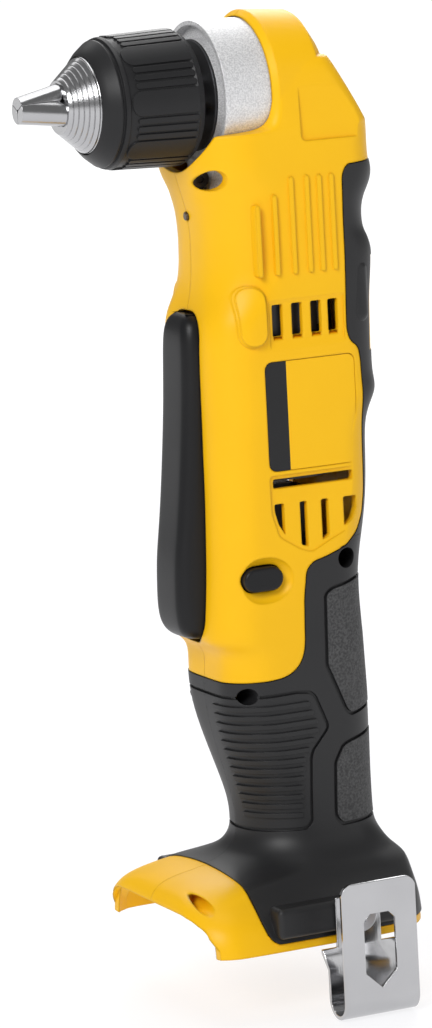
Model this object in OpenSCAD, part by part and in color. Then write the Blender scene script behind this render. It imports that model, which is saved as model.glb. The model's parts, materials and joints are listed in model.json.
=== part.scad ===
// Right angle drill: chuck at -X, handle down -Z, left side at -Y.
// The origin is at the jaw tips on the spindle axis, and lengths are in millimetres.

/* [Head] */
// Outer radius of the head around the spindle
head_r = 22.5; // [21.5:0.1:24]
// Jaw tips to the motor axis
axis_x = 72; // [71:0.1:75]
// Motor axis to the front rim of the head
head_front = 5.5; // [5:0.1:6]
// Motor axis to the back of the head
head_back = 26.5; // [26:0.1:28]
// Motor axis to the tip of the lip under the chuck
lip_front = 26.5; // [26:0.1:27]

/* [Body] */
// Width of the body across the two halves
body_w = 46; // [45:0.1:49]
// Motor axis to the front of the neck
body_front = 23.8; // [23.5:0.1:25]
// Motor axis to the back of the body
body_back = 24.2; // [24:0.1:26]
// Half length of the side that carries the vents and plates
side_span = 26.6; // [26:0.1:27]
// Spindle axis to the bottom of the foot
tool_len = 234.8; // [230:0.2:245]
// Thickness of the plastic shells
wall = 2.5; // [2.2:0.1:2.7]
// Thickness of the soft overmould
skin = 1.2; // [1:0.1:1.4]

/* [Grip] */
// Motor axis to the front of the grip at its waist
waist_front = 17.8; // [17.4:0.1:18.2]
// Motor axis to the back of the grip
waist_back = 21; // [20:0.1:22]
// Width of the grip at its waist
waist_w = 35; // [34:0.1:38]

/* [Foot] */
// Height of the foot with its flare
foot_h = 25.8; // [25:0.1:28]
// Width of the foot
foot_w = 76; // [75:0.2:80]
// Motor axis to the front of the foot
foot_front = 47.3; // [46:0.1:49]
// Motor axis to the back of the foot
foot_back = 27.7; // [27:0.1:29]
// Depth of the battery bay
bay_h = 12.8; // [12.4:0.1:13]

/* [Trigger] */
// Spindle axis to the top of the trigger
trigger_top = 58.5; // [58:0.1:60]
// Length of the trigger
trigger_len = 92.5; // [92:0.1:97]
// Width of the trigger
trigger_w = 18.4; // [17:0.1:19]
// How far the trigger stands out at its lower end
trigger_out = 9.1; // [8:0.1:9.5]
// Swing of the trigger in degrees
trigger_swing = 7; // [6:0.1:7]

/* [Chuck] */
// Outer radius of the chuck sleeve
sleeve_r = 19; // [18.6:0.1:19.4]
// Jaw tips to the back of the chuck sleeve
chuck_len = 48; // [47.5:0.1:48.4]
// Jaw tips to the steel nose
nose_x = 12; // [11.5:0.1:12.5]
// Radius of a jaw
jaw_r = 3.5; // [3.4:0.05:3.6]
// Radius left between the closed jaws
grip_r = 0.5; // [0.4:0.05:0.6]
// Slope of the jaws in degrees
jaw_slope = 13; // [12.8:0.1:13.2]
// Travel of a jaw along its slope
jaw_travel = 20; // [19:0.1:20]

/* [Drive] */
// Radius of the pinion end of the rotor shaft
shaft_r = 1.6; // [1.5:0.05:1.7]
// Length of the motor can
motor_len = 60; // [58:0.1:61]
// Width of the planet gears
planet_h = 9; // [8:0.1:9.4]
// Width of the bevel teeth
bevel_face = 5.2; // [4.6:0.1:5.4]

/* [Hook] */
// Width of the belt hook
hook_w = 23; // [22:0.1:25]
// Thickness of the belt hook strip
hook_t = 1.2; // [1:0.05:1.5]
// Drop of the hook below the foot
hook_drop = 18.2; // [17:0.1:20]
// Gap inside the hook
hook_gap = 8; // [7:0.1:9.5]

/* [Hidden] */
$fn = 64;
// overrun of the cuts
over = 2;
// thickness of a loft slice
slice = 0.02;
// gap between pieces that meet
fit = 0.05;
// gap under the soft overmould
skin_fit = 0.12;
// gap between pieces that pass
pass = 0.3;
// gap round pieces that are dropped in
drop = 0.2;

yellow = [0.95, 0.68, 0.06];
black = [0.06, 0.06, 0.065];
dark = [0.12, 0.12, 0.13];
steel = [0.72, 0.73, 0.75];
cast = [0.66, 0.67, 0.68];
copper = [0.72, 0.42, 0.2];
brass = [0.78, 0.62, 0.28];
white = [0.82, 0.8, 0.74];

half_w = body_w / 2;
foot_top = tool_len - foot_h;
trigger_end = trigger_top + trigger_len;
grip_top = trigger_end + (foot_top - trigger_end) * 0.18;
bay_top = tool_len - bay_h;

// Outline of the housing, as rows from the head down.
// Each row: height, front reach, back reach, half width, front corner, back corner.
front_corner = 19;
back_corner = 12;

// Head: height and half width as shares of head_r, front of head_front, back of head_back.
head_shares = [
  [0.99, 1, 0.3, 0.2],
  [0.9, 1, 0.36, 0.47],
  [0.67, 1, 0.49, 0.75],
  [0.445, 1, 0.5, 0.905],
  [0.4, 1, 0.585, 0.92],
  [0.18, 1, 0.66, 0.99],
  [-0.18, 1, 0.8, 1.01],
  [-0.33, 1.2, 0.885, 1.015],
  [-0.4, 1.53, 0.93, 1.015],
  [-0.43, 2.2, 0.95, 1.02]
];
// Lip: height as a share of head_r, front from head_front to lip_front, back of head_back.
lip_shares = [
  [-0.455, 0.95, 0.963],
  [-0.51, 0.995, 0.985],
  [-0.645, 1, 1],
  [-0.8, 1, 1],
  [-0.91, 0.985, 1],
  [-1.02, 0.955, 0.995]
];
// Neck: height as a share of trigger_top, front of body_front, back of body_back.
neck_shares = [
  [0.45, 1.03, 1.09],
  [0.49, 1.015, 1.075],
  [0.555, 1, 1],
  [0.7, 1, 1],
  [0.8, 1.01, 1.075],
  [0.91, 1.025, 1.06]
];
// Trigger zone: height as a share of trigger_len, front, back and half width.
zone_shares = [
  [0, 1.08, 1.04, 0.98],
  [0.05, 1.1, 1.035, 0.98],
  [0.27, 1.12, 1.045, 0.97],
  [0.36, 1.125, 0.917, 0.965],
  [0.57, 1.14, 0.843, 0.955],
  [0.82, 1.18, 0.802, 0.935],
  [0.97, 1.24, 0.81, 0.915],
  [1.005, 1.25, 0.815, 0.915],
  [1.035, 1.04, 0.82, 0.913]
];
// Grip: height from grip_top to foot_top, front from the body to the waist, half width likewise.
grip_shares = [
  [0, 0.02, 0],
  [0.2, 0.03, 0.25],
  [0.41, 0.32, 0.55],
  [0.65, 0.73, 0.85],
  [0.81, 1, 1],
  [0.94, 1, 1]
];
// Foot: height as a share of foot_h, front and back from the waist to the foot, half width
// likewise, and the front corner as a share of the half width.
foot_shares = [
  [0, 0.0305, 0.045, 0.034, 0.967],
  [0.0853, 0.0814, 0.119, 0.083, 0.958],
  [0.1628, 0.1424, 0.209, 0.151, 0.947],
  [0.2287, 0.2373, 0.328, 0.229, 0.946],
  [0.2752, 0.3729, 0.433, 0.298, 0.932],
  [0.3062, 0.5288, 0.493, 0.337, 0.9],
  [0.3372, 0.7119, 0.552, 0.376, 0.833],
  [0.3721, 0.8407, 0.612, 0.415, 0.692],
  [0.4225, 0.9288, 0.687, 0.483, 0.547],
  [0.4806, 0.9797, 0.761, 0.571, 0.445],
  [0.5581, 1, 0.836, 0.717, 0.404],
  [0.684, 1, 0.928, 0.882, 0.365],
  [0.845, 1, 0.985, 0.976, 0.347],
  [1, 1, 1, 1, 0.342]
];
grip_front = body_front * 1.08;
grip_half = half_w * 0.9;
waist_half = waist_w / 2;
foot_half = foot_w / 2;
foot_back_corner = 20;
zone_corner = 12.5;
lip_corner = 16;
grip_corner = 13;
head_corner = 3;

function mix(a, b, s) = a + (b - a) * s;

rows = concat(
  [for (s = head_shares) [head_r * s[0], head_front * s[1], head_back * s[2], head_r * s[3],
    head_corner, head_corner * 2]],
  [for (s = lip_shares) [head_r * s[0], mix(head_front, lip_front, s[1]), head_back * s[2],
    half_w, lip_corner, back_corner * 0.8]],
  [for (s = neck_shares) [-trigger_top * s[0], body_front * s[1], body_back * s[2], half_w,
    front_corner, back_corner]],
  [for (s = zone_shares) [-trigger_top - trigger_len * s[0], body_front * s[1], body_back * s[2],
    half_w * s[3], zone_corner, back_corner]],
  [for (s = grip_shares) [mix(-grip_top, -foot_top, s[0]), mix(grip_front, waist_front, s[1]),
    waist_back, mix(grip_half, waist_half, s[2]), mix(grip_corner, waist_half * 0.97, s[1]),
    grip_corner]],
  [for (s = foot_shares) [-foot_top - foot_h * s[0], mix(waist_front, foot_front, s[1]),
    mix(waist_back, foot_back, s[2]), mix(waist_half, foot_half, s[3]),
    mix(waist_half, foot_half, s[3]) * s[4], mix(grip_corner, foot_back_corner, s[2])]]
);
last_row = len(rows) - 1;
waist_row = len(rows) - len(foot_shares) - 1;

// Points of one corner of a section.
corner_steps = 6;
function corner(cx, cy, r, from) = [for (k = [0 : corner_steps])
  [cx + r * cos(from + 90 * k / corner_steps), cy + r * sin(from + 90 * k / corner_steps)]];
function section(front, back, half, rf, rb) = let (
  f = min(rf, half * 0.98, (front + back) * 0.49),
  b = min(rb, half * 0.98, (front + back) * 0.49)
) concat(
  corner(back - b, half - b, b, 0),
  corner(-front + f, half - f, f, 90),
  corner(-front + f, -half + f, f, 180),
  corner(back - b, -half + b, b, 270)
);

// Points of one row, grown by a thickness.
function ring(row, grow, lift) = [for (p = section(row[1] + grow, row[2] + grow, row[3] + grow,
  max(row[4] + grow, slice), max(row[5] + grow, slice))) [axis_x + p[0], p[1], row[0] + lift]];

module band(points) {
  hull()
    polyhedron(points = points, faces = [[for (i = [0 : len(points) - 1]) i]]);
}

// Loft through the rows from first to last.
module loft(grow, first, last) {
  for (i = [first : last - 1])
    band(concat(ring(rows[i], grow, i == 0 ? grow : 0), ring(rows[i + 1], grow, 0)));
}

// Cylinders along the three axes.
module along_x(x0, x1, r) {
  translate([x0, 0, 0])
    rotate([0, 90, 0])
      cylinder(r = r, h = x1 - x0);
}
module along_y(x, z, y0, y1, r) {
  translate([x, y0, z])
    rotate([-90, 0, 0])
      cylinder(r = r, h = y1 - y0);
}
module along_z(z0, z1, r) {
  translate([axis_x, 0, z0])
    cylinder(r = r, h = z1 - z0);
}
module box(x0, x1, y0, y1, z0, z1) {
  translate([x0, y0, z0])
    cube([x1 - x0, y1 - y0, z1 - z0]);
}
// Outline in X and Z, drawn out along Y.
module side_plate(points, y0, y1) {
  translate([0, y1, 0])
    rotate([90, 0, 0])
      linear_extrude(height = y1 - y0)
        polygon(points);
}

// Soft overmould: its edge on the side of the tool, X as shares of side_span from the
// motor axis and Z as shares of tool_len.
grip_edge_shares = [
  [1.8, 0.5285],
  [0.8, 0.541],
  [0.36, 0.546],
  [0.05, 0.556],
  [-0.07, 0.575],
  [-0.09, 0.645],
  [-0.2, 0.678],
  [-0.43, 0.688],
  [-1.95, 0.695]
];
foot_edge_shares = [
  [-1.95, 0.195],
  [-1.075, 0.195],
  [-1.075, 0.5],
  [-1.06, 0.66],
  [-1.03, 0.8],
  [-0.96, 0.875],
  [1.1, 0.875],
  [1.8, 0.72]
];
function side_x(s) = axis_x + side_span * s;
grip_edge = concat(
  [for (s = grip_edge_shares) [side_x(s[0]), -tool_len * s[1]]],
  [for (s = foot_edge_shares) [side_x(s[0]), -foot_top - foot_h * s[1]]]
);
spine_edge_shares = [
  [0.56, 0.098],
  [1.9, 0.092],
  [1.9, 0.525],
  [0.64, 0.536],
  [0.62, 0.312],
  [0.56, 0.29]
];
spine_edge = [for (s = spine_edge_shares) [side_x(s[0]), -tool_len * s[1]]];

// Places of the screws: X shares of side_span from the motor axis, Z shares of tool_len, size.
screw_shares = [
  [-0.8365, 0.0955, 1],
  [0.385, 0.555, 1],
  [-0.78, 0.703, 1],
  [-1.55, 0.9432, 0.66]
];
screw_r = 1.5;
screw_head_r = 2.7;
screw_head_h = 2.2;
screw_deep = 8;
screw_long = 10;
boss_r = 3.2;

// Sides of the trigger and its slot.
trigger_half = trigger_w / 2;
switch_half = 11;
slot_half = trigger_half + drop * 2;
slot_deep = 16;
pivot_x = axis_x - body_front * 0.99;
pivot_z = -trigger_top - trigger_len * 0.07;
pin_r = 1.5;

// Drive line down the motor axis: barrel, mount plate, motor, end cap, switch.
barrel_end = -41.5;
mount_t = 2.5;
motor_top = barrel_end - mount_t;
motor_end = motor_top - motor_len;
cap_t = 3;
switch_gap = 3.95;
switch_top = cap_t - motor_end + switch_gap;
switch_h = 38;
// what lies round the motor axis fits the narrower way through the body
back_room_share = 0.951;
room_r = min(half_w, body_back * back_room_share);

// Direction button.
button_x = side_x(-0.62);
button_z = -switch_top - switch_h * 0.567;
button_long = 13.2;
button_high = 8;
button_rod_x = button_x + button_long * 0.3;
button_rod_r = 2;
button_travel = 2.5;
button_in = switch_half + button_travel + pass + drop;

// Vent slots: X shares of side_span, Z shares of tool_len.
vent_shares = [-0.36, 0.39];
vent_top_share = 0.245;
vent_end_share = 0.283;
low_vent_shares = [-0.45, 0.49];
low_top_share = 0.452;
low_end_share = 0.534;
vent_count = 4;
low_vent_count = 6;
vent_bar = 2;

// Ribs over the gearbox.
rib_count = 6;
rib_shares = [-0.49, 0.39];
rib_top_shares = [0.129, 0.1];
rib_end_share = 0.21;
rib_w = 1.4;
rib_out = 0.8;

// Bare side plates.
plate_shares = [-0.45, 0.53];
plate_top_share = 0.308;
plate_end_share = 0.44;
plate_t = 0.8;

// Battery bay and its rails.
bay_front = foot_front - wall * 1.2;
bay_back = foot_back - wall * 2;
bay_half = foot_half - wall * 1.5;
rail_in = bay_half * 0.835;
rail_z = -tool_len + wall * 0.4;
rail_h = 2.8;
rail_front = foot_front * 0.7;
rail_back = bay_back - pass;
wire_r = 7;

module oval(x, z, long, high, y0, y1) {
  hull() {
    along_y(x - (long - high) / 2, z, y0, y1, high / 2);
    along_y(x + (long - high) / 2, z, y0, y1, high / 2);
  }
}

module skin_cut(edge) {
  intersection() {
    side_plate(edge, -foot_half - over, foot_half + over);
    difference() {
      loft(over, 0, last_row);
      loft(-skin, 0, last_row);
    }
  }
}

// Arch under the front of the foot: Y shares of foot_half, Z shares of foot_h. Behind its rim a
// rib crosses the foot and holds a screw.
arch_shares = [
  [0, 0.492],
  [0.26, 0.482],
  [0.53, 0.45],
  [0.69, 0.378],
  [0.82, 0.268],
  [0.91, 0.085],
  [0.968, -0.001]
];
arch_half = [for (s = arch_shares) [foot_half * s[0], -tool_len + foot_h * s[1]]];
arch_low = [foot_half * 0.968, -tool_len - over];
arch_points = concat(
  arch_half, [arch_low, [-arch_low[0], arch_low[1]]],
  [for (k = [len(arch_half) - 1 : -1 : 1]) [-arch_half[k][0], arch_half[k][1]]]
);
arch_x0 = axis_x - foot_front + wall * 1.48;
arch_x1 = axis_x - foot_front * 0.815;
arch_rib_z = -tool_len + foot_h * 0.434;
module arch_bar(x0, x1) {
  translate([x0, 0, 0])
    rotate([90, 0, 90])
      linear_extrude(height = x1 - x0)
        polygon(arch_points);
}
module arch(x1) {
  arch_bar(axis_x - foot_front - over, arch_x0);
  intersection() {
    arch_bar(arch_x0 - slice, x1);
    box(0, axis_x, -foot_half, foot_half, -tool_len - over * 2, arch_rib_z);
  }
}

// Hollow of the shells, with the openings through them.
module shell_cuts() {
  difference() {
    loft(-wall, 0, waist_row);
    box(-over, axis_x - head_front + wall, -body_w, body_w, barrel_top + barrel_gap, head_r + over);
  }
  // trigger slot
  box(axis_x - body_front * 1.4, axis_x - body_front * 1.4 + slot_deep, -slot_half, slot_half,
    -trigger_end - pass * 5, -trigger_top - pass * 2);
  // direction button
  oval(button_x, button_z, button_long + drop * 2, button_high + drop * 2, -foot_half, foot_half);
  // vents
  for (k = [0 : vent_count - 1])
    box(side_x(mix(vent_shares[0], vent_shares[1], k / vent_count)) + vent_bar,
      side_x(mix(vent_shares[0], vent_shares[1], (k + 1) / vent_count)),
      -half_w - over, half_w + over, -tool_len * vent_end_share, -tool_len * vent_top_share);
  for (k = [0 : low_vent_count - 1])
    box(side_x(mix(low_vent_shares[0], low_vent_shares[1], k / low_vent_count)) + vent_bar,
      side_x(mix(low_vent_shares[0], low_vent_shares[1], (k + 1) / low_vent_count)),
      -half_w - over, half_w + over, -tool_len * low_end_share, -tool_len * low_top_share);
  // bay of the battery, with the arch at its front
  intersection() {
    union() {
      box(arch_x1, axis_x + bay_back, -bay_half, bay_half, -tool_len - over, -bay_top);
      arch(arch_x1 + slice);
    }
    union() {
      loft(-wall, waist_row, last_row);
      band(concat(ring(rows[last_row], -wall, 0), ring(rows[last_row], -wall, -over)));
    }
  }
  arch(axis_x - foot_front + wall * 2.2);
  // way for the wires
  along_z(-tool_len, -foot_top + foot_h * 0.3, wire_r);
}

module shell_adds() {
  // bosses of the screws above the foot
  intersection() {
    difference() {
      for (k = [0 : 2])
        along_y(side_x(screw_shares[k][0]), -tool_len * screw_shares[k][1], -half_w, half_w, boss_r);
      along_z(barrel_end, barrel_top, barrel_r + fit);
    }
    loft(-wall * 0.5, 0, waist_row);
  }
  // ribs that hold the switch
  intersection() {
    for (s = [-1, 1])
      for (z = [-switch_top - switch_h * 0.2, -switch_top - switch_h * 0.8])
        box(switch_x0 + wall, switch_x1 - wall, s > 0 ? switch_half + drop : -half_w,
          s > 0 ? half_w : -switch_half - drop, z - wall / 2, z + wall / 2);
    loft(-wall * 0.5, 0, waist_row);
  }
  // rails of the battery
  for (s = [-1, 1])
    box(axis_x - rail_front, axis_x + rail_back, s > 0 ? rail_in : -bay_half - wall * 0.2,
      s > 0 ? bay_half + wall * 0.2 : -rail_in, rail_z, rail_z + rail_h);
}

// Ribs and the pivot pads stand on the outside of the shells.
module shell_ribs() {
  for (k = [0 : rib_count - 1])
    intersection() {
      box(side_x(mix(rib_shares[0], rib_shares[1], k / (rib_count - 1))) - rib_w / 2,
        side_x(mix(rib_shares[0], rib_shares[1], k / (rib_count - 1))) + rib_w / 2,
        -half_w - over, half_w + over, -tool_len * rib_end_share,
        -tool_len * mix(rib_top_shares[0], rib_top_shares[1], k / (rib_count - 1)));
      box(axis_x - body_front, axis_x + body_back, -half_w - rib_out, half_w + rib_out, -tool_len, 0);
    }
}

// Holes for the inserts of the hook's screw, one on each side.
module hook_holes() {
  for (s = [-1, 1])
    along_y(hook_x, hook_hole_z, s > 0 ? seat_y - hook_deep - drop : -seat_y - over,
      s > 0 ? seat_y + over : -seat_y + hook_deep + drop, insert_r + fit);
}

module shell_half(side) {
  intersection() {
    box(-over, axis_x * 2, side > 0 ? fit / 2 : -foot_w, side > 0 ? foot_w : -fit / 2,
      -tool_len - over, head_r + over);
    difference() {
      union() {
        difference() {
          union() {
            loft(0, 0, last_row);
            shell_ribs();
          }
          shell_cuts();
        }
        shell_adds();
      }
      // collar and chuck
      along_x(-over, axis_x - head_front * head_shares[0][1] + wall + drop, collar_r + drop);
      // room for the overmoulds and the bare plates
      skin_cut(grip_edge);
      skin_cut(spine_edge);
      for (s = [-1, 1])
        box(side_x(plate_shares[0]) - drop, side_x(plate_shares[1]) + drop,
          s > 0 ? half_w * 0.95 - plate_t : -half_w - over, s > 0 ? half_w + over : -half_w * 0.95 + plate_t,
          -tool_len * plate_end_share - drop, -tool_len * plate_top_share + drop);
      // screw holes
      for (s = screw_shares) {
        along_y(side_x(s[0]), -tool_len * s[1], -foot_half - over, -screw_deep + screw_head_h,
          screw_head_r * s[2] + drop);
        along_y(side_x(s[0]), -tool_len * s[1], -screw_deep, screw_long + over, screw_r * s[2] + fit);
      }
      hook_holes();
      translate([0, 0, light_z])
        along_x(light_x - over, light_x + light_long + over, light_r + fit);
      // pin of the trigger
      along_y(pivot_x, pivot_z, -trigger_half - wall * 1.6, trigger_half + wall * 1.6, pin_r + fit);
    }
  }
}

module left_shell() {
  color(yellow) shell_half(-1);
}

module right_shell() {
  color(yellow) shell_half(1);
}

// Overmould of one side, with the seat of the hook at the foot.
seat_shares = [-0.97, 0.6];
seat_top_share = 0.5;
seat_end_share = 0.84;
seat_out = 2.2;
seat_y = foot_half + seat_out;
module grip_half_skin(side) {
  difference() {
    intersection() {
      box(-over, axis_x * 2, side > 0 ? fit / 2 : -foot_w, side > 0 ? foot_w : -fit / 2,
        -tool_len - over, head_r);
      union() {
        intersection() {
          side_plate(grip_edge, -foot_half - over, foot_half + over);
          difference() {
            loft(0, 0, last_row);
            loft(-skin + skin_fit, 0, last_row);
          }
        }
        difference() {
          box(side_x(seat_shares[0]), side_x(seat_shares[1]), side > 0 ? foot_half * 0.8 : -seat_y,
            side > 0 ? seat_y : -foot_half * 0.8, -foot_top - foot_h * seat_end_share,
            -foot_top - foot_h * seat_top_share);
          loft(-skin + skin_fit, 0, last_row);
        }
      }
    }
    for (s = screw_shares)
      along_y(side_x(s[0]), -tool_len * s[1], -foot_half - over, 0, screw_head_r * s[2] + drop);
    hook_holes();
  }
}

module left_grip() {
  color(black) grip_half_skin(-1);
}

module right_grip() {
  color(black) grip_half_skin(1);
}

// Rear spine down the back of both halves.
module spine_grip() {
  color(black)
    difference() {
      intersection() {
        side_plate(spine_edge, -half_w - over, half_w + over);
        difference() {
          loft(0, 0, last_row);
          loft(-skin + skin_fit, 0, last_row);
        }
      }
      for (s = screw_shares)
        along_y(side_x(s[0]), -tool_len * s[1], -foot_half - over, 0, screw_head_r * s[2] + drop);
    }
}

// Small light in the front of the neck, aimed at the chuck.
light_r = 1.2;
light_long = 2.8;
light_z = -head_r * 1.47;
light_x = axis_x - body_front;
module work_light() {
  color(white)
    translate([0, 0, light_z])
      along_x(light_x, light_x + light_long, light_r);
}

module plate(side) {
  intersection() {
    box(side_x(plate_shares[0]), side_x(plate_shares[1]),
      side > 0 ? half_w * 0.95 - plate_t + fit : -half_w * 0.95 - plate_t * 2,
      side > 0 ? half_w * 0.95 + plate_t * 2 : -half_w * 0.95 + plate_t - fit,
      -tool_len * plate_end_share, -tool_len * plate_top_share);
    loft(0, 0, last_row);
  }
}

module left_plate() {
  color(dark) plate(-1);
}

module right_plate() {
  color(dark) plate(1);
}

module housing_screws() {
  color(steel)
    for (s = screw_shares)
      difference() {
        union() {
          along_y(side_x(s[0]), -tool_len * s[1], -screw_deep, -screw_deep + screw_head_h - fit,
            screw_head_r * s[2]);
          along_y(side_x(s[0]), -tool_len * s[1], -screw_deep, screw_long, screw_r * s[2]);
        }
        along_y(side_x(s[0]), -tool_len * s[1], -screw_deep - over, -screw_deep + screw_head_h / 2,
          screw_head_r * s[2] / 2, $fn = 6);
      }
}

// Battery terminals in the bay.
block_x0 = axis_x - foot_front * 0.13;
block_x1 = axis_x + bay_back * 0.75;
block_half = 13;
block_h = bay_h * 0.7;
blade_count = 5;
blade_t = 0.8;
blade_long = 8;
blade_h = 5;
module terminal_block() {
  color(dark)
    box(block_x0, block_x1, -block_half, block_half, -bay_top - block_h, -bay_top - fit);
}

module battery_contacts() {
  color(brass)
    for (k = [0 : blade_count - 1])
      box(block_x0 - blade_long, block_x0,
        mix(-block_half, block_half, (k + 0.5) / blade_count) - blade_t / 2,
        mix(-block_half, block_half, (k + 0.5) / blade_count) + blade_t / 2,
        -bay_top - block_h * 0.5 - blade_h / 2, -bay_top - block_h * 0.5 + blade_h / 2);
}

// Belt hook: a bent strip, hung on the left seat.
hook_x = side_x(-0.08);
hook_screw_r = 2;
hook_head_r = 4.6;
insert_r = 3.4;
hook_head_h = 2.4;
hook_deep = 5.2;
hook_hole_z = -foot_top - foot_h * 0.67;
hook_top = -foot_top - foot_h * 0.2;
hook_tab_top = hook_hole_z + hook_w * 0.24;
hook_tab_half = hook_w * 0.3;
hook_step = 3.6;
hook_knee = -tool_len - hook_t;
hook_bend_z = -tool_len - hook_drop + hook_gap / 2 + hook_t;
hook_leg_y = -seat_y - hook_step;
hook_plate_y = hook_leg_y - hook_t - hook_gap;
hook_window_w = hook_w * 0.42;
hook_window_top = hook_top - hook_w * 0.4;
hook_window_end = hook_top - hook_w * 1.115;
hook_window_tip = hook_top - hook_w * 1.31;

// Strip seen from the end, Y and Z.
module strip(points) {
  translate([hook_x - hook_w / 2, 0, 0])
    rotate([90, 0, 90])
      linear_extrude(height = hook_w)
        polygon(points);
}

module belt_hook() {
  color(steel)
    difference() {
      union() {
        // tab on the seat
        box(hook_x - hook_tab_half, hook_x + hook_tab_half, -seat_y - hook_t, -seat_y - slice,
          hook_knee, hook_tab_top);
        // step out from the tab to the leg
        strip([
          [-seat_y - slice, hook_knee],
          [-seat_y - slice, hook_knee + hook_t],
          [-seat_y - hook_t, hook_knee + hook_t],
          [hook_leg_y - hook_t, hook_knee - hook_step],
          [hook_leg_y - hook_t, hook_bend_z],
          [hook_leg_y, hook_bend_z],
          [hook_leg_y, hook_knee - hook_step - hook_t * 0.4]
        ]);
        // bend
        translate([hook_x - hook_w / 2, hook_leg_y - hook_t - hook_gap / 2, hook_bend_z])
          rotate([90, 0, 90])
            linear_extrude(height = hook_w)
              difference() {
                circle(r = hook_gap / 2 + hook_t);
                circle(r = hook_gap / 2);
                translate([-hook_gap, 0])
                  square([hook_gap * 2, hook_gap]);
              }
        // outer plate
        strip([
          [hook_plate_y - hook_t, hook_bend_z],
          [hook_plate_y, hook_bend_z],
          [hook_plate_y, hook_top],
          [hook_plate_y - hook_t, hook_top]
        ]);
      }
      along_y(hook_x, hook_hole_z, -seat_y - over * 2, -seat_y + over, hook_screw_r + fit);
      // window with its pointed lower end
      side_plate([
        [hook_x - hook_window_w * 0.5, hook_window_top - hook_window_w * 0.2],
        [hook_x - hook_window_w * 0.3, hook_window_top],
        [hook_x + hook_window_w * 0.3, hook_window_top],
        [hook_x + hook_window_w * 0.5, hook_window_top - hook_window_w * 0.2],
        [hook_x + hook_window_w * 0.5, hook_window_end],
        [hook_x, hook_window_tip],
        [hook_x - hook_window_w * 0.5, hook_window_end]
      ], hook_plate_y - over, hook_plate_y + over);
    }
}

module hook_screw() {
  color(steel)
    difference() {
      union() {
        along_y(hook_x, hook_hole_z, -seat_y - hook_t - hook_head_h, -seat_y - hook_t, hook_head_r);
        along_y(hook_x, hook_hole_z, -seat_y - hook_t, -seat_y + hook_deep, hook_screw_r);
      }
      along_y(hook_x, hook_hole_z, -seat_y - hook_t - hook_head_h - over,
        -seat_y - hook_t - hook_head_h / 2, hook_screw_r, $fn = 6);
    }
}

// Brass inserts that the hook's screw turns into. The right one is free.
module hook_inserts() {
  color(brass)
    for (s = [-1, 1])
      difference() {
        along_y(hook_x, hook_hole_z, s > 0 ? seat_y - hook_deep : -seat_y,
          s > 0 ? seat_y : -seat_y + hook_deep, insert_r);
        along_y(hook_x, hook_hole_z, s > 0 ? seat_y - hook_deep - over : -seat_y - over,
          s > 0 ? seat_y + over : -seat_y + hook_deep + over, hook_screw_r + fit);
      }
}

// Gear case: collar and bevel chamber along the spindle, barrel along the motor axis.
collar_step = 2.1;
collar_r = head_r - collar_step;
chamber_front = 11;
chamber_x0 = axis_x - chamber_front;
front_room = chamber_x0 - chuck_len;
collar_share = 5 / 13;
front_bearing_share = 6 / 13;
collar_x = chuck_len + front_room * collar_share;
collar_end_x = axis_x - head_front * head_shares[0][1] + wall * 0.6;
case_gap = 1;
case_r = head_r - wall - case_gap;
case_cone_x = axis_x + head_back * 0.06;
case_cap_x = axis_x + head_back * 0.34;
case_cap_r = head_r * 0.49;
case_end_x = axis_x + head_back * 0.45;
case_end_r = head_r * 0.39;
barrel_gap = 0.5;
barrel_r = room_r - wall - barrel_gap;
barrel_top = -head_r * 0.6;
barrel_wall = 2;
chamber_r = case_r - wall;
chamber_x1 = axis_x;
ring_r = barrel_r - barrel_wall;
web_z = -24.5;

// Bearings: inner radius, outer radius, width.
front_bearing_r = 14;
front_bearing_w = front_room * front_bearing_share;
front_bearing_x = chamber_x0 - front_bearing_w;
rear_wall = 1.3;
rear_cap = 1;
rear_bearing_r = case_end_r - rear_wall;
rear_bearing_w = 5;
rear_bearing_x = case_end_x - rear_cap - rear_bearing_w;
pinion_bearing_r = 9.5;
pinion_bearing_w = 6;
web_lip = 1;
pinion_bearing_z = web_z + web_lip;
motor_bearing_r = 5;
motor_bearing_w = 3.4;
spindle_r = 6;
spindle_end_r = rear_bearing_r / 2;
neck_r = 5;
carrier_shaft_r = 4;
carrier_tip_r = 2.5;

module gear_case() {
  color(cast)
    difference() {
      union() {
        along_x(collar_x, collar_end_x, collar_r);
        along_x(axis_x - head_front, case_cone_x, case_r);
        translate([case_cone_x, 0, 0])
          rotate([0, 90, 0])
            cylinder(r1 = case_r, r2 = case_cap_r, h = case_cap_x - case_cone_x);
        along_x(case_cap_x, case_end_x, case_end_r);
        along_z(barrel_end, barrel_top, barrel_r);
      }
      // bevel chamber
      along_x(chamber_x0, chamber_x1, chamber_r);
      translate([chamber_x1 - slice, 0, 0])
        rotate([0, 90, 0])
          cylinder(r1 = chamber_r, r2 = rear_bearing_r, h = rear_bearing_x - chamber_x1 + slice * 2);
      along_x(rear_bearing_x, case_end_x - rear_cap, rear_bearing_r);
      // seats in front of it
      along_x(front_bearing_x, chamber_x0 + over, front_bearing_r);
      along_x(collar_x - over, front_bearing_x + slice, retainer_r);
      // room for the sleeve
      along_x(-over, chuck_len + pass, sleeve_r + pass);
      // seats under it
      along_z(web_z, -pinion_r, bevel_hole_r);
      along_z(web_z - over, pinion_bearing_z + pinion_bearing_w, pinion_bearing_r);
      along_z(barrel_end - over, web_z, ring_r);
    }
}

retainer_step = 1.4;
retainer_gap = 1.5;
retainer_r = front_bearing_r + retainer_step;
retainer_w = front_bearing_x - collar_x;
module bearing_retainer() {
  color(steel)
    difference() {
      along_x(collar_x - retainer_w * 0.4, front_bearing_x - fit, retainer_r - fit);
      along_x(collar_x - over, chamber_x0, spindle_r + retainer_gap);
    }
}

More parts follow.
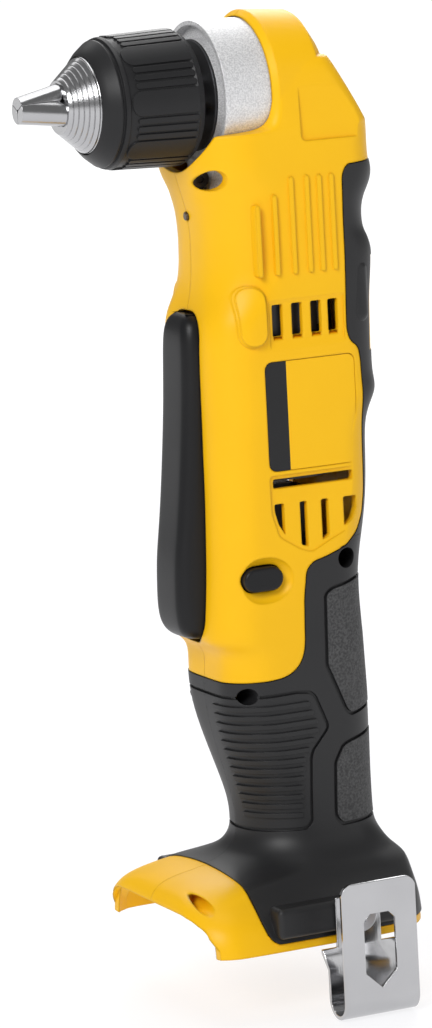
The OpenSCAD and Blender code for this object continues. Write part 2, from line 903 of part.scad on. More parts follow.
// Bearing with its races shown by grooves on both faces.
module bearing(inner, outer, width) {
  mid = (inner + outer) / 2;
  land = (outer - inner) * 0.16;
  rotate_extrude()
    polygon([
      [inner, 0],
      [mid - land, 0],
      [mid - land, width * 0.12],
      [mid + land, width * 0.12],
      [mid + land, 0],
      [outer, 0],
      [outer, width],
      [mid + land, width],
      [mid + land, width * 0.88],
      [mid - land, width * 0.88],
      [mid - land, width],
      [inner, width]
    ]);
}

module front_bearing() {
  color(steel)
    translate([front_bearing_x, 0, 0])
      rotate([0, 90, 0])
        bearing(spindle_r + fit, front_bearing_r - fit / 2, front_bearing_w);
}

module rear_bearing() {
  color(steel)
    translate([rear_bearing_x, 0, 0])
      rotate([0, 90, 0])
        bearing(spindle_end_r + fit, rear_bearing_r - fit / 2, rear_bearing_w);
}

module pinion_bearing() {
  color(steel)
    translate([axis_x, 0, pinion_bearing_z])
      bearing(carrier_shaft_r + fit, pinion_bearing_r - fit / 2, pinion_bearing_w - fit);
}

// Teeth: involute flanks as angles at a radius.
pressure = 25;
flank_steps = 4;
function inv(a) = tan(a) * 180 / PI - a;
function tooth_half(r, rp, thick) = thick / (2 * rp) * 180 / PI + inv(pressure)
  - inv(acos(min(1, rp * cos(pressure) / r)));
function tooth_radii(rp, low, high) = let (base = max(rp * cos(pressure), low))
  [for (k = [0 : flank_steps]) mix(base, high, k / flank_steps)];
// One tooth as radius and angle, from its left root to its right root.
function tooth(rp, low, high, thick) = let (
  radii = tooth_radii(rp, low, high),
  half = [for (r = radii) tooth_half(r, rp, thick)]
) concat(
  [[low, -half[0]]],
  [for (k = [0 : flank_steps]) [radii[k], -half[k]]],
  [for (k = [flank_steps : -1 : 0]) [radii[k], half[k]]],
  [[low, half[0]]]
);
function gear_points(count, rp, low, high, thick) = [
  for (i = [0 : count - 1]) for (t = tooth(rp, low, high, thick))
    [t[0] * cos(360 * i / count + t[1]), t[0] * sin(360 * i / count + t[1])]
];

// Planet stage: the ring gives the module.
sun_teeth = 12;
planet_teeth = 18;
ring_teeth = 48;
planet_count = 3;
ring_rim = 1.6;
ring_root = ring_r - ring_rim;
addendum_share = 0.85;
dedendum_share = 1.2;
gear_m = ring_root / (ring_teeth / 2 + dedendum_share);
lash = gear_m * 0.2;
sun_rp = sun_teeth * gear_m / 2;
planet_rp = planet_teeth * gear_m / 2;
ring_rp = ring_teeth * gear_m / 2;
orbit = sun_rp + planet_rp;
tooth_thick = PI * gear_m / 2 - lash / 2;
carrier_gap = 0.5;
planet_gap = 0.4;
plate_top = web_z - carrier_gap;
carrier_t = 3.5;
planet_top = plate_top - carrier_t - planet_gap;
planet_end = planet_top - planet_h;
carrier_pin_r = 2;

module ring_gear() {
  color(steel)
    translate([axis_x, 0, planet_end - carrier_gap])
      difference() {
        cylinder(r = ring_r - fit, h = planet_h + planet_gap * 1.5);
        translate([0, 0, -over])
          rotate([0, 0, 180 / ring_teeth])
            linear_extrude(height = planet_h + over * 3)
              polygon(gear_points(ring_teeth, ring_rp, ring_rp - addendum_share * gear_m, ring_root,
                PI * gear_m / 2 + lash / 2));
      }
}

module planet(k) {
  color(steel)
    translate([axis_x + orbit * cos(360 * k / planet_count), orbit * sin(360 * k / planet_count),
      planet_end])
      rotate([0, 0, 360 * k / planet_count + 180 / planet_teeth])
        difference() {
          linear_extrude(height = planet_h)
            polygon(gear_points(planet_teeth, planet_rp, planet_rp - dedendum_share * gear_m,
              planet_rp + addendum_share * gear_m, tooth_thick));
          translate([0, 0, -over])
            cylinder(r = carrier_pin_r + fit, h = planet_h + over * 2);
        }
}

module planet_1() {
  planet(0);
}

module planet_2() {
  planet(1);
}

module planet_3() {
  planet(2);
}

module sun_gear() {
  color(steel)
    translate([axis_x, 0, planet_end - drop])
      difference() {
        linear_extrude(height = planet_h - planet_gap)
          polygon(gear_points(sun_teeth, sun_rp, sun_rp - dedendum_share * gear_m,
            sun_rp + addendum_share * gear_m, tooth_thick));
        translate([0, 0, -over])
          cylinder(r = shaft_r + fit, h = planet_h + over * 2);
      }
}

module planet_carrier() {
  color(steel)
    union() {
      along_z(plate_top - carrier_t, plate_top, orbit + carrier_pin_r * 1.6);
      for (k = [0 : planet_count - 1])
        translate([orbit * cos(360 * k / planet_count), orbit * sin(360 * k / planet_count), 0])
          along_z(planet_end - planet_gap, plate_top - carrier_t + slice, carrier_pin_r);
      along_z(plate_top - slice, pinion_hub_z, carrier_shaft_r);
      along_z(pinion_hub_z - slice, -bevel_r * 0.68, carrier_tip_r);
    }
}

// Bevel pair: both cones meet where the spindle crosses the motor axis.
pinion_teeth = 14;
bevel_teeth = 28;
chamber_gap = 4;
bevel_r = chamber_r - chamber_gap;
bevel_m = 2 * bevel_r / bevel_teeth;
pinion_r = bevel_m * pinion_teeth / 2;
cone_len = sqrt(bevel_r * bevel_r + pinion_r * pinion_r);
pinion_slope = atan(pinion_r / bevel_r);
bevel_slope = 90 - pinion_slope;
bevel_lash = bevel_m * 0.24;
bevel_thick = PI * bevel_m / 2 - bevel_lash / 2;
bevel_hole_r = pinion_r + bevel_m * 1.4;
pinion_hub_z = pinion_bearing_z + pinion_bearing_w + fit;
inner_share = (cone_len - bevel_face) / cone_len;

// Outer loop of a bevel gear, apex at the origin and axis down.
function bevel_loop(count, slope) = let (
  rv = cone_len * tan(slope),
  shape = tooth(rv, rv - dedendum_share * bevel_m, rv + addendum_share * bevel_m, bevel_thick)
) [for (i = [0 : count - 1]) for (t = shape) let (a = 360 * i / count + t[1] / cos(slope))
  [t[0] * cos(slope) * cos(a), t[0] * cos(slope) * sin(a), -(cone_len / cos(slope) - t[0] * sin(slope))]];

module bevel(count, slope) {
  loop = bevel_loop(count, slope);
  n = len(loop);
  low = min([for (p = loop) p[2]]);
  inner = loop * inner_share;
  points = concat(loop, inner, [[0, 0, low], [0, 0, low * inner_share]]);
  faces = concat(
    [for (i = [0 : n - 1]) [i, n + i, (i + 1) % n]],
    [for (i = [0 : n - 1]) [(i + 1) % n, n + i, n + (i + 1) % n]],
    [for (i = [0 : n - 1]) [2 * n, i, (i + 1) % n]],
    [for (i = [0 : n - 1]) [2 * n + 1, n + (i + 1) % n, n + i]]
  );
  polyhedron(points = points, faces = faces, convexity = 6);
}

module bevel_pinion() {
  color(steel)
    translate([axis_x, 0, 0])
      difference() {
        union() {
          rotate([0, 0, 180])
            bevel(pinion_teeth, pinion_slope);
          translate([0, 0, pinion_hub_z + fit])
            cylinder(r = pinion_r * 0.7, h = -bevel_r - pinion_hub_z);
        }
        translate([0, 0, -bevel_r * 2])
          cylinder(r = carrier_tip_r + fit, h = bevel_r * 2);
      }
}

bevel_hub_step = 4;
bevel_hub_r = spindle_r + bevel_hub_step;
bevel_hub_x = chamber_x0 + pass;
module bevel_gear() {
  color(steel)
    difference() {
      union() {
        translate([axis_x, 0, 0])
          rotate([0, 90, 0])
            rotate([0, 0, 180 / bevel_teeth])
              bevel(bevel_teeth, bevel_slope);
        along_x(bevel_hub_x, axis_x - pinion_r - bevel_m * 0.8, bevel_hub_r);
      }
      along_x(chamber_x0 - over, axis_x, spindle_r + fit);
    }
}

// Spindle from the chuck to the rear bearing.
thread_r = 4.7;
thread_back = 25;
thread_x = nose_x + thread_back;
shoulder_x = axis_x - pinion_r * inner_share - bevel_m;
module spindle() {
  color(steel)
    difference() {
      union() {
        along_x(thread_x, chuck_back_x + slice, thread_r);
        along_x(chuck_back_x + plate_w + fit, shoulder_x, spindle_r);
        along_x(chuck_back_x, chuck_back_x + plate_w + fit * 2, thread_r);
        along_x(shoulder_x - slice, rear_bearing_x - pass, neck_r);
        along_x(rear_bearing_x - pass - slice, rear_bearing_x + rear_bearing_w, spindle_end_r);
      }
      along_x(thread_x - over, thread_x + chuck_screw_long, chuck_screw_r + fit);
    }
}

// Chuck: steel body with three sloping bores for the jaws.
chuck_r = sleeve_r * 0.755;
chuck_lip = 1;
chuck_back_x = chuck_len - chuck_lip;
plate_w = 1.5;
nose_r = 7.4;
nose_long = 8.2;
nose_back_x = nose_x + nose_long;
nose_steps_share = [0, 0.28, 0.5, 0.72, 1];
bit_r = 5.1;
bit_floor = 2;
bit_end_x = thread_x - bit_floor;
jaw_tip_r = 3.7;
jaw_axis_r = jaw_tip_r - jaw_r / cos(jaw_slope);
jaw_len = 27;
nut_back = 12.2;
nut_x = nose_x + nut_back;
nut_w = 6;
sleeve_t = 3.5;
sleeve_in = sleeve_r - sleeve_t;
nut_r = sleeve_in - fit;
chuck_screw_r = 2;
chuck_screw_head_r = 3.3;
chuck_screw_head_h = 2.5;
chuck_screw_long = 7;
function jaw_line(x) = jaw_tip_r + x * tan(jaw_slope);

// Nose as steps that grow towards the sleeve.
nose_points = concat(
  [[0, nose_x], [nose_r, nose_x]],
  [for (k = [1 : len(nose_steps_share) - 1]) for (e = [0, 1])
    [mix(nose_r, chuck_r, nose_steps_share[k]), mix(nose_x, nose_back_x,
      e == 0 ? mix(nose_steps_share[k - 1], nose_steps_share[k], 0.75) : nose_steps_share[k])]],
  [
    [chuck_r, nut_x - drop],
    [jaw_line(nut_x) - drop, nut_x - drop],
    [jaw_line(nut_x) - drop, nut_x + nut_w + drop],
    [chuck_r, nut_x + nut_w + drop],
    [chuck_r, chuck_back_x],
    [0, chuck_back_x]
  ]
);

module jaw_bore(r, x0, x1, k) {
  rotate([120 * k, 0, 0])
    translate([0, 0, jaw_axis_r])
      rotate([0, 90 - jaw_slope, 0])
        translate([0, 0, x0])
          cylinder(r = r, h = x1 - x0);
}

module chuck_body() {
  color(steel)
    difference() {
      rotate([90, 0, 90])
        rotate_extrude()
          polygon(nose_points);
      for (k = [0 : 2])
        jaw_bore(jaw_r + fit * 2, -over, chuck_len * 1.3, k);
      along_x(nose_x - over, bit_end_x, bit_r);
      along_x(bit_end_x - over, thread_x + over, chuck_screw_r + fit);
      along_x(thread_x, chuck_len + over, thread_r + fit);
    }
}

module chuck_back() {
  color(dark)
    difference() {
      along_x(chuck_back_x + fit, chuck_back_x + plate_w, sleeve_in - drop);
      along_x(chuck_back_x - over, chuck_len + over, thread_r + fit);
    }
}

module chuck_screw() {
  color(dark)
    difference() {
      union() {
        along_x(bit_end_x - chuck_screw_head_h, bit_end_x - fit, chuck_screw_head_r);
        along_x(bit_end_x - fit * 2, thread_x + chuck_screw_long - pass, chuck_screw_r);
      }
      translate([bit_end_x - chuck_screw_head_h - over, 0, 0])
        rotate([0, 90, 0])
          cylinder(r = chuck_screw_r * 0.8, h = over + chuck_screw_head_h * 0.7, $fn = 6);
    }
}

// Sleeve outline: radius as a share of sleeve_r, place as a share of the sleeve's length.
sleeve_front_x = nose_back_x + pass;
sleeve_rim = 0.6;
sleeve_shares = [
  [0.92, 0.098],
  [0.955, 0.149],
  [0.965, 0.222],
  [1, 0.836],
  [1, 0.905],
  [0.93, 1]
];
sleeve_points = concat(
  [[chuck_r + pass, sleeve_front_x], [chuck_r + pass + sleeve_rim, sleeve_front_x]],
  [for (s = sleeve_shares) [sleeve_r * s[0], mix(sleeve_front_x, chuck_len, s[1])]],
  [[sleeve_in, chuck_len], [sleeve_in, nut_x - drop], [chuck_r + pass, nut_x - drop]]
);
groove_groups = 6;
groove_step = 5.5;
groove_w = 0.9;
groove_deep = 0.7;
groove_x0 = mix(sleeve_front_x, chuck_len, 0.269);
groove_x1 = mix(sleeve_front_x, chuck_len, 0.797);
module chuck_sleeve() {
  color(black)
    difference() {
      rotate([90, 0, 90])
        rotate_extrude()
          polygon(sleeve_points);
      for (g = [0 : groove_groups - 1])
        for (k = [-1 : 1])
          rotate([360 * g / groove_groups + groove_step * 2 * k, 0, 0])
            box(groove_x0, groove_x1, -groove_w / 2, groove_w / 2, sleeve_r * 0.982 - groove_deep,
              sleeve_r + over);
    }
}

module chuck_nut() {
  color(steel)
    translate([nut_x, 0, 0])
      rotate([0, 90, 0])
        difference() {
          cylinder(r = nut_r, h = nut_w);
          translate([0, 0, -slice])
            cylinder(r1 = jaw_line(nut_x) + drop, r2 = jaw_line(nut_x + nut_w) + drop,
              h = nut_w + slice * 2);
        }
}

// A jaw: a sloping rod, cut to a third of the circle, flat at the tip.
wedge_long = 40;
module jaw(k) {
  color(steel)
    rotate([120 * k, 0, 0])
      difference() {
        intersection() {
          jaw_bore(jaw_r, -over, jaw_len / cos(jaw_slope), 0);
          rotate([90, 0, 90])
            linear_extrude(height = wedge_long)
              polygon([
                [0, fit * 2],
                [jaw_r * 3, fit * 2 + jaw_r * 3 * tan(30)],
                [jaw_r * 3, jaw_r * 8],
                [-jaw_r * 3, jaw_r * 8],
                [-jaw_r * 3, fit * 2 + jaw_r * 3 * tan(30)]
              ]);
        }
        along_x(-over, wedge_long, grip_r);
      }
}

module jaw_1() {
  jaw(0);
}

module jaw_2() {
  jaw(1);
}

module jaw_3() {
  jaw(2);
}

// Motor between the mount plate and the end cap.
mount_step = 1;
motor_gap = 2.8;
motor_r = room_r - wall - motor_gap;
can_t = 1.3;
can_in = motor_r - can_t;
boss_wall = 1.4;
boss_lip = 0.6;
motor_boss_r = motor_bearing_r + boss_wall;
motor_boss_h = 2;
cap_boss_h = 1.4;
fan_z = -tool_len * vent_top_share;
fan_h = 8;
fan_gap = 2;
brush_room = 14;
magnet_room = 3.8;
air_gap = 0.8;
core_top = fan_z - fan_h - fan_gap;
core_end = motor_end + brush_room;
core_r = can_in - magnet_room;
magnet_in = core_r + air_gap;
magnet_angle = 128;
slot_count = 10;
slot_w = 2.4;
slot_in_share = 0.5;
comm_r = 5;
comm_gap = 3.6;
comm_lift = 4.2;
comm_top = core_end - comm_gap;
comm_end = motor_end + comm_lift;

module mount_plate() {
  color(steel)
    difference() {
      along_z(barrel_end - mount_t, barrel_end, barrel_r - mount_step);
      along_z(barrel_end - mount_t - over, barrel_end + over, motor_boss_r + fit);
    }
}

module motor_can() {
  color(steel)
    difference() {
      union() {
        along_z(motor_end, motor_top, motor_r);
        along_z(motor_top - slice, motor_top + motor_boss_h, motor_boss_r);
      }
      along_z(motor_end - over, motor_top - can_t, can_in);
      along_z(motor_top - over, motor_top + motor_boss_h - boss_lip, motor_bearing_r);
      along_z(motor_top - over, motor_top + over * 2, shaft_r * 2);
      for (a = [0 : 90 : 270])
        translate([axis_x, 0, 0])
          rotate([0, 0, a + 45])
            box(0, motor_r + over, -motor_r * 0.35, motor_r * 0.35, fan_z - fan_h, fan_z);
    }
}

module motor_magnets() {
  color(dark)
    for (a = [0, 180])
      translate([axis_x, 0, core_end])
        rotate([0, 0, a - magnet_angle / 2])
          rotate_extrude(angle = magnet_angle)
            translate([magnet_in, 0])
              square([can_in - fit - magnet_in, core_top - core_end]);
}

brush_half = 2;
brush_long = 6.4;
brush_z = (comm_top + comm_end) / 2;
holder_gap = 1.6;
holder_in = comm_r + holder_gap;
holder_out = comm_r + brush_long + boss_lip;
module motor_cap() {
  color(dark)
    difference() {
      union() {
        along_z(motor_end - cap_t, motor_end, motor_r);
        along_z(motor_end - slice, motor_end + cap_boss_h, motor_boss_r);
        for (s = [-1, 1])
          translate([axis_x, 0, 0])
            box(s > 0 ? holder_in : -holder_out, s > 0 ? holder_out : -holder_in, -brush_half * 1.7,
              brush_half * 1.7, motor_end - slice, brush_z + brush_half * 1.7);
      }
      translate([axis_x, 0, brush_z])
        cube([motor_r * 2, brush_half * 2 + fit * 2, brush_half * 2 + fit * 2], center = true);
      along_z(motor_end + cap_boss_h - motor_bearing_w, motor_end + over * 2, motor_bearing_r);
    }
}

module motor_brushes() {
  color(dark)
    for (s = [-1, 1])
      translate([axis_x, 0, 0])
        box(s > 0 ? comm_r + fit : -comm_r - fit - brush_long,
          s > 0 ? comm_r + fit + brush_long : -comm_r - fit,
          -brush_half, brush_half, brush_z - brush_half, brush_z + brush_half);
}

module motor_bearings() {
  color(steel) {
    translate([axis_x, 0, motor_top + motor_boss_h - boss_lip - motor_bearing_w - fit])
      bearing(shaft_r + fit, motor_bearing_r - fit / 2, motor_bearing_w);
    translate([axis_x, 0, motor_end + cap_boss_h - motor_bearing_w + fit])
      bearing(shaft_r + fit, motor_bearing_r - fit / 2, motor_bearing_w);
  }
}

module rotor_shaft() {
  color(steel)
    along_z(motor_end - shaft_r, planet_top - boss_lip, shaft_r);
}

module rotor_core() {
  color(steel)
    difference() {
      along_z(core_end, core_top, core_r);
      along_z(core_end - over, core_top + over, shaft_r + fit);
      for (k = [0 : slot_count - 1])
        translate([axis_x, 0, 0])
          rotate([0, 0, 360 * k / slot_count])
            box(core_r * slot_in_share, core_r + over, -slot_w / 2, slot_w / 2,
              core_end - over, core_top + over);
    }
}

winding_out = core_r * 0.9;
winding_gap = 2;
winding_in = shaft_r + winding_gap;
winding_top_h = 1.4;
winding_end_h = 3;
module rotor_windings() {
  color(copper)
    union() {
      translate([axis_x, 0, core_top + fit])
        rotate_extrude()
          translate([winding_in, 0])
            square([winding_out - winding_in, winding_top_h]);
      translate([axis_x, 0, core_end - fit - winding_end_h])
        rotate_extrude()
          translate([winding_in, 0])
            square([winding_out - winding_in, winding_end_h]);
      for (k = [0 : slot_count - 1])
        translate([axis_x, 0, 0])
          rotate([0, 0, 360 * k / slot_count])
            box(core_r * slot_in_share + fit, winding_out - fit, -slot_w / 2 + fit, slot_w / 2 - fit,
              core_end - fit - slice * 4, core_top + fit + slice * 4);
    }
}

module commutator() {
  color(copper)
    difference() {
      along_z(comm_end, comm_top, comm_r);
      along_z(comm_end - over, comm_top + over, shaft_r + fit);
    }
}

fan_room = 1.2;
fan_r = can_in - fan_room;
fan_hub_step = 2.4;
fan_disc_t = 1.2;
fan_blade_t = 1.2;
blade_fan_count = 8;
module cooling_fan() {
  color(white)
    difference() {
      union() {
        along_z(fan_z - fan_h, fan_z, shaft_r + fan_hub_step);
        along_z(fan_z - fan_h, fan_z - fan_h + fan_disc_t, fan_r);
        for (k = [0 : blade_fan_count - 1])
          translate([axis_x, 0, 0])
            rotate([0, 0, 360 * k / blade_fan_count])
              box(shaft_r * 1.6, fan_r - pass, -fan_blade_t / 2, fan_blade_t / 2,
                fan_z - fan_h + fan_disc_t / 2, fan_z - fan_disc_t / 2);
      }
      along_z(fan_z - fan_h - over, fan_z + over, shaft_r + fit);
    }
}

// Switch, plunger and trigger.
switch_x0 = button_rod_x + button_rod_r + drop;
switch_long = 16;
switch_wall = 1;
switch_x1 = switch_x0 + switch_long;
plunger_z = -switch_top - switch_h * 0.2142;
plunger_r = 3;
plunger_rest = 9;
push_gap = 0.5;
trigger_lever = pivot_z - plunger_z;
plunger_travel = trigger_lever * tan(trigger_swing) * 1.03;
trigger_back = axis_x - body_front * 1.03;

module switch_body() {
  color(dark)
    difference() {
      box(switch_x0, switch_x1, -switch_half, switch_half, -switch_top - switch_h, -switch_top);
      translate([0, 0, plunger_z])
        along_x(switch_x0 - over, switch_x1 - switch_wall, plunger_r + fit);
    }
}

module switch_plunger() {
  color(dark)
    translate([0, 0, plunger_z])
      along_x(trigger_back + push_gap, switch_x1 - switch_wall - plunger_travel - push_gap, plunger_r);
}

// Front of the trigger: height as a share of trigger_len, reach as a share of trigger_out.
trigger_shares = [
  [0.012, 0],
  [0.027, 0.18],
  [0.06, 0.31],
  [0.16, 0.35],
  [0.27, 0.41],
  [0.42, 0.54],
  [0.57, 0.69],
  [0.68, 0.84],
  [0.75, 0.945],
  [0.84, 0.99],
  [0.9, 1],
  [0.945, 0.945],
  [0.973, 0.82],
  [0.992, 0.6],
  [0.997, 0.27]
];
trigger_front_x = axis_x - body_front * 1.135;
trigger_round = 3.4;
trigger_t = 3;
trigger_face = [for (s = trigger_shares)
  [trigger_front_x - trigger_out * s[1], -trigger_top - trigger_len * s[0]]];
trigger_hollow = [for (s = trigger_shares) if (s[0] > 0.15 && s[0] < 0.97)
  [trigger_front_x - trigger_out * s[1] + trigger_t, -trigger_top - trigger_len * s[0]]];
ear_r = 3.6;
trigger_block = concat(trigger_face, [
  [trigger_back, -trigger_top - trigger_len * 0.997],
  [trigger_back, -trigger_top - trigger_len * 0.02]
]);
module trigger() {
  color(black)
    difference() {
      union() {
        difference() {
          union() {
            hull() {
              side_plate(trigger_block, -trigger_half + trigger_round, trigger_half - trigger_round);
              translate([trigger_round * 0.75, 0, 0])
                side_plate(trigger_block, -trigger_half, trigger_half);
            }
            along_y(pivot_x, pivot_z, -trigger_half, trigger_half, ear_r);
          }
          box(trigger_back, axis_x, -trigger_half - over, trigger_half + over,
            -trigger_end, pivot_z - ear_r * 0.6);
          side_plate(concat(trigger_hollow, [
            [trigger_back + over, trigger_hollow[len(trigger_hollow) - 1][1]],
            [trigger_back + over, trigger_hollow[0][1]]
          ]), -trigger_half + trigger_t, trigger_half - trigger_t);
        }
        intersection() {
          side_plate(trigger_block, -trigger_t, trigger_t);
          box(trigger_front_x - trigger_out - over, trigger_back, -trigger_w, trigger_w,
            plunger_z - trigger_t, plunger_z + trigger_t);
        }
      }
      along_y(pivot_x, pivot_z, -trigger_half - over, trigger_half + over, pin_r + fit);
    }
}

module trigger_pin() {
  color(steel)
    along_y(pivot_x, pivot_z, -trigger_half - wall * 1.5, trigger_half + wall * 1.5, pin_r);
}

// Direction button, pushed through the body from either side.
button_out = half_w * 0.965;
module direction_button() {
  color(black)
    union() {
      for (s = [-1, 1])
        oval(button_x, button_z, button_long, button_high,
          s > 0 ? button_in : -button_out, s > 0 ? button_out : -button_in);
      along_y(button_rod_x, button_z, -button_in - slice, button_in + slice, button_rod_r);
    }
}

left_shell();
right_shell();
left_grip();
right_grip();
spine_grip();
left_plate();
right_plate();
housing_screws();
terminal_block();
battery_contacts();
belt_hook();
hook_screw();
hook_inserts();
gear_case();
bearing_retainer();
front_bearing();
rear_bearing();
pinion_bearing();
ring_gear();
mount_plate();
motor_can();
motor_magnets();
motor_cap();
motor_brushes();
motor_bearings();
switch_body();
trigger_pin();
work_light();
spindle();
bevel_gear();
chuck_body();
chuck_back();
chuck_screw();
chuck_sleeve();
chuck_nut();
jaw_1();
jaw_2();
jaw_3();
planet_carrier();
bevel_pinion();
planet_1();
planet_2();
planet_3();
sun_gear();
rotor_shaft();
rotor_core();
rotor_windings();
commutator();
cooling_fan();
trigger();
switch_plunger();
direction_button();
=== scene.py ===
import json
from math import cos, pi, radians, sin

import bmesh
import bpy
from mathutils import Matrix, Vector


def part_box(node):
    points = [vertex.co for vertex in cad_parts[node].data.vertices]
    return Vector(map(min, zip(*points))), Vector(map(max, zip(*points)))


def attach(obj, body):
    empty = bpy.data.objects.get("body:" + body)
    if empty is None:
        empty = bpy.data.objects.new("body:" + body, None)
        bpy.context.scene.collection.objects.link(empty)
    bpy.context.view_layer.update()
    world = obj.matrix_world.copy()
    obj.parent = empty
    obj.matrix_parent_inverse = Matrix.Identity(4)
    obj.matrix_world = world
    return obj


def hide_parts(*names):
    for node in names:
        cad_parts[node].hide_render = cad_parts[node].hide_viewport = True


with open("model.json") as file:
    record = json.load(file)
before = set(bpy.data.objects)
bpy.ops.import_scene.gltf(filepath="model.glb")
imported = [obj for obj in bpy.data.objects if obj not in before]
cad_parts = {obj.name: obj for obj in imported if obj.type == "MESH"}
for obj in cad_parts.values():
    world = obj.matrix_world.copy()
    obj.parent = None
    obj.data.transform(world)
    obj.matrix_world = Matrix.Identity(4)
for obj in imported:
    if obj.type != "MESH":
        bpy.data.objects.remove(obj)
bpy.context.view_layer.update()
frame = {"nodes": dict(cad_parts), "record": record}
mm = 0.001
print("frame loaded")

# camera, floor and light

shot = {
    "azimuth": -25.381, "elevation": 9.588, "roll": -3.169,  # degrees
    "distance": 1.33047, "lens": 165.85, "sensor": 36.0,
    "target": (0.05605, 0.00695, -0.11837),
}


def placeCamera(look):
    azimuth, elevation, roll = (radians(look[k]) for k in ("azimuth", "elevation", "roll"))
    back = Vector((sin(azimuth) * cos(elevation), -cos(azimuth) * cos(elevation), sin(elevation)))
    side = Vector((cos(azimuth), sin(azimuth), 0))
    up = back.cross(side)
    right = side * cos(roll) + up * sin(roll)
    top = up * cos(roll) - side * sin(roll)
    data = bpy.data.cameras.new("camera")
    data.sensor_fit = "VERTICAL"
    data.sensor_height = look["sensor"]
    data.lens = look["lens"]
    camera = bpy.data.objects.new("camera", data)
    bpy.context.scene.collection.objects.link(camera)
    turn = Matrix((right, top, back)).transposed().to_4x4()
    camera.matrix_world = Matrix.Translation(Vector(look["target"]) + back * look["distance"]) @ turn
    bpy.context.scene.camera = camera


studio = {
    "floorSize": 9.0, "ambient": 0.22, "backdrop": 1.0,
    "lamps": {  # place, aim if not the tool, power in watts, width
        "key": ((-1.15, -1.05, 0.95), None, 23.0, 0.8),
        "fill": ((1.3, -1.4, 0.5), None, 4.0, 1.2),
        "top": ((0.1, 0.2, 1.6), None, 8.0, 1.0),
        "back": ((0.9, 1.2, 0.6), None, 6.0, 0.8),
        "beyond": ((1.1, 2.2, 1.8), (1.1, 2.2, -0.25), 45.0, 3.0),
    },
}


def lightStudio(look):
    world = bpy.data.worlds.new("softStudio")
    bpy.context.scene.world = world
    world.use_nodes = True
    nodes, links = world.node_tree.nodes, world.node_tree.links
    nodes.clear()
    ambient = nodes.new("ShaderNodeBackground")
    ambient.inputs["Color"].default_value = (1, 1, 1, 1)
    ambient.inputs["Strength"].default_value = look["ambient"]
    backdrop = nodes.new("ShaderNodeBackground")
    backdrop.inputs["Color"].default_value = (1, 1, 1, 1)
    backdrop.inputs["Strength"].default_value = look["backdrop"]
    path = nodes.new("ShaderNodeLightPath")
    mix = nodes.new("ShaderNodeMixShader")
    out = nodes.new("ShaderNodeOutputWorld")
    links.new(path.outputs["Is Camera Ray"], mix.inputs[0])
    links.new(ambient.outputs[0], mix.inputs[1])
    links.new(backdrop.outputs[0], mix.inputs[2])
    links.new(mix.outputs[0], out.inputs["Surface"])
    for name, (spot, aim, power, width) in look["lamps"].items():
        data = bpy.data.lights.new(name, "AREA")
        data.energy, data.size = power, width
        lamp = bpy.data.objects.new(name, data)
        bpy.context.scene.collection.objects.link(lamp)
        lamp.location = spot
        ahead = Vector(aim or shot["target"]) - Vector(spot)
        lamp.rotation_euler = ahead.to_track_quat("-Z", "Y").to_euler()
    bpy.context.scene.view_settings.view_transform = "Standard"


placeCamera(shot)
lightStudio(studio)
print("camera and light set")

# shader maths


class Wire:  # one socket of a material, so that maths on it reads as Python
    def __init__(self, tree, socket=None):
        self.tree, self.socket = tree, socket

    def node(self, kind, settings=(), out=0, **values):
        made = self.tree.nodes.new("ShaderNode" + kind)
        for key, value in dict(settings).items():
            if key == "stops":
                for stop, (place, colour) in zip(made.color_ramp.elements, value):
                    stop.position, stop.color = place, colour
            else:
                setattr(made, key, value)
        for key, value in values.items():
            socket = made.inputs[int(key[1:]) if key[1:].isdigit() else key.replace("_", " ")]
            if isinstance(value, Wire):
                self.tree.links.new(value.socket, socket)
            else:
                socket.default_value = value
        return Wire(self.tree, made.outputs[out] if len(made.outputs) else None)

    def maths(self, operation, first, second):
        return self.node("Math", {"operation": operation}, i0=first, i1=second)

    def __add__(self, other):
        return self.maths("ADD", self, other)

    def __sub__(self, other):
        return self.maths("SUBTRACT", self, other)

    def __rsub__(self, other):
        return self.maths("SUBTRACT", other, self)

    def __mul__(self, other):
        return self.maths("MULTIPLY", self, other)

    def __lt__(self, other):
        return self.maths("LESS_THAN", self, other)

    def __gt__(self, other):
        return self.maths("GREATER_THAN", self, other)

    __radd__, __rmul__ = __add__, __mul__


def mixed(wire, share, first, second):
    return wire.node("Mix", {"data_type": "RGBA"}, out=2, i0=share, i6=first, i7=second)


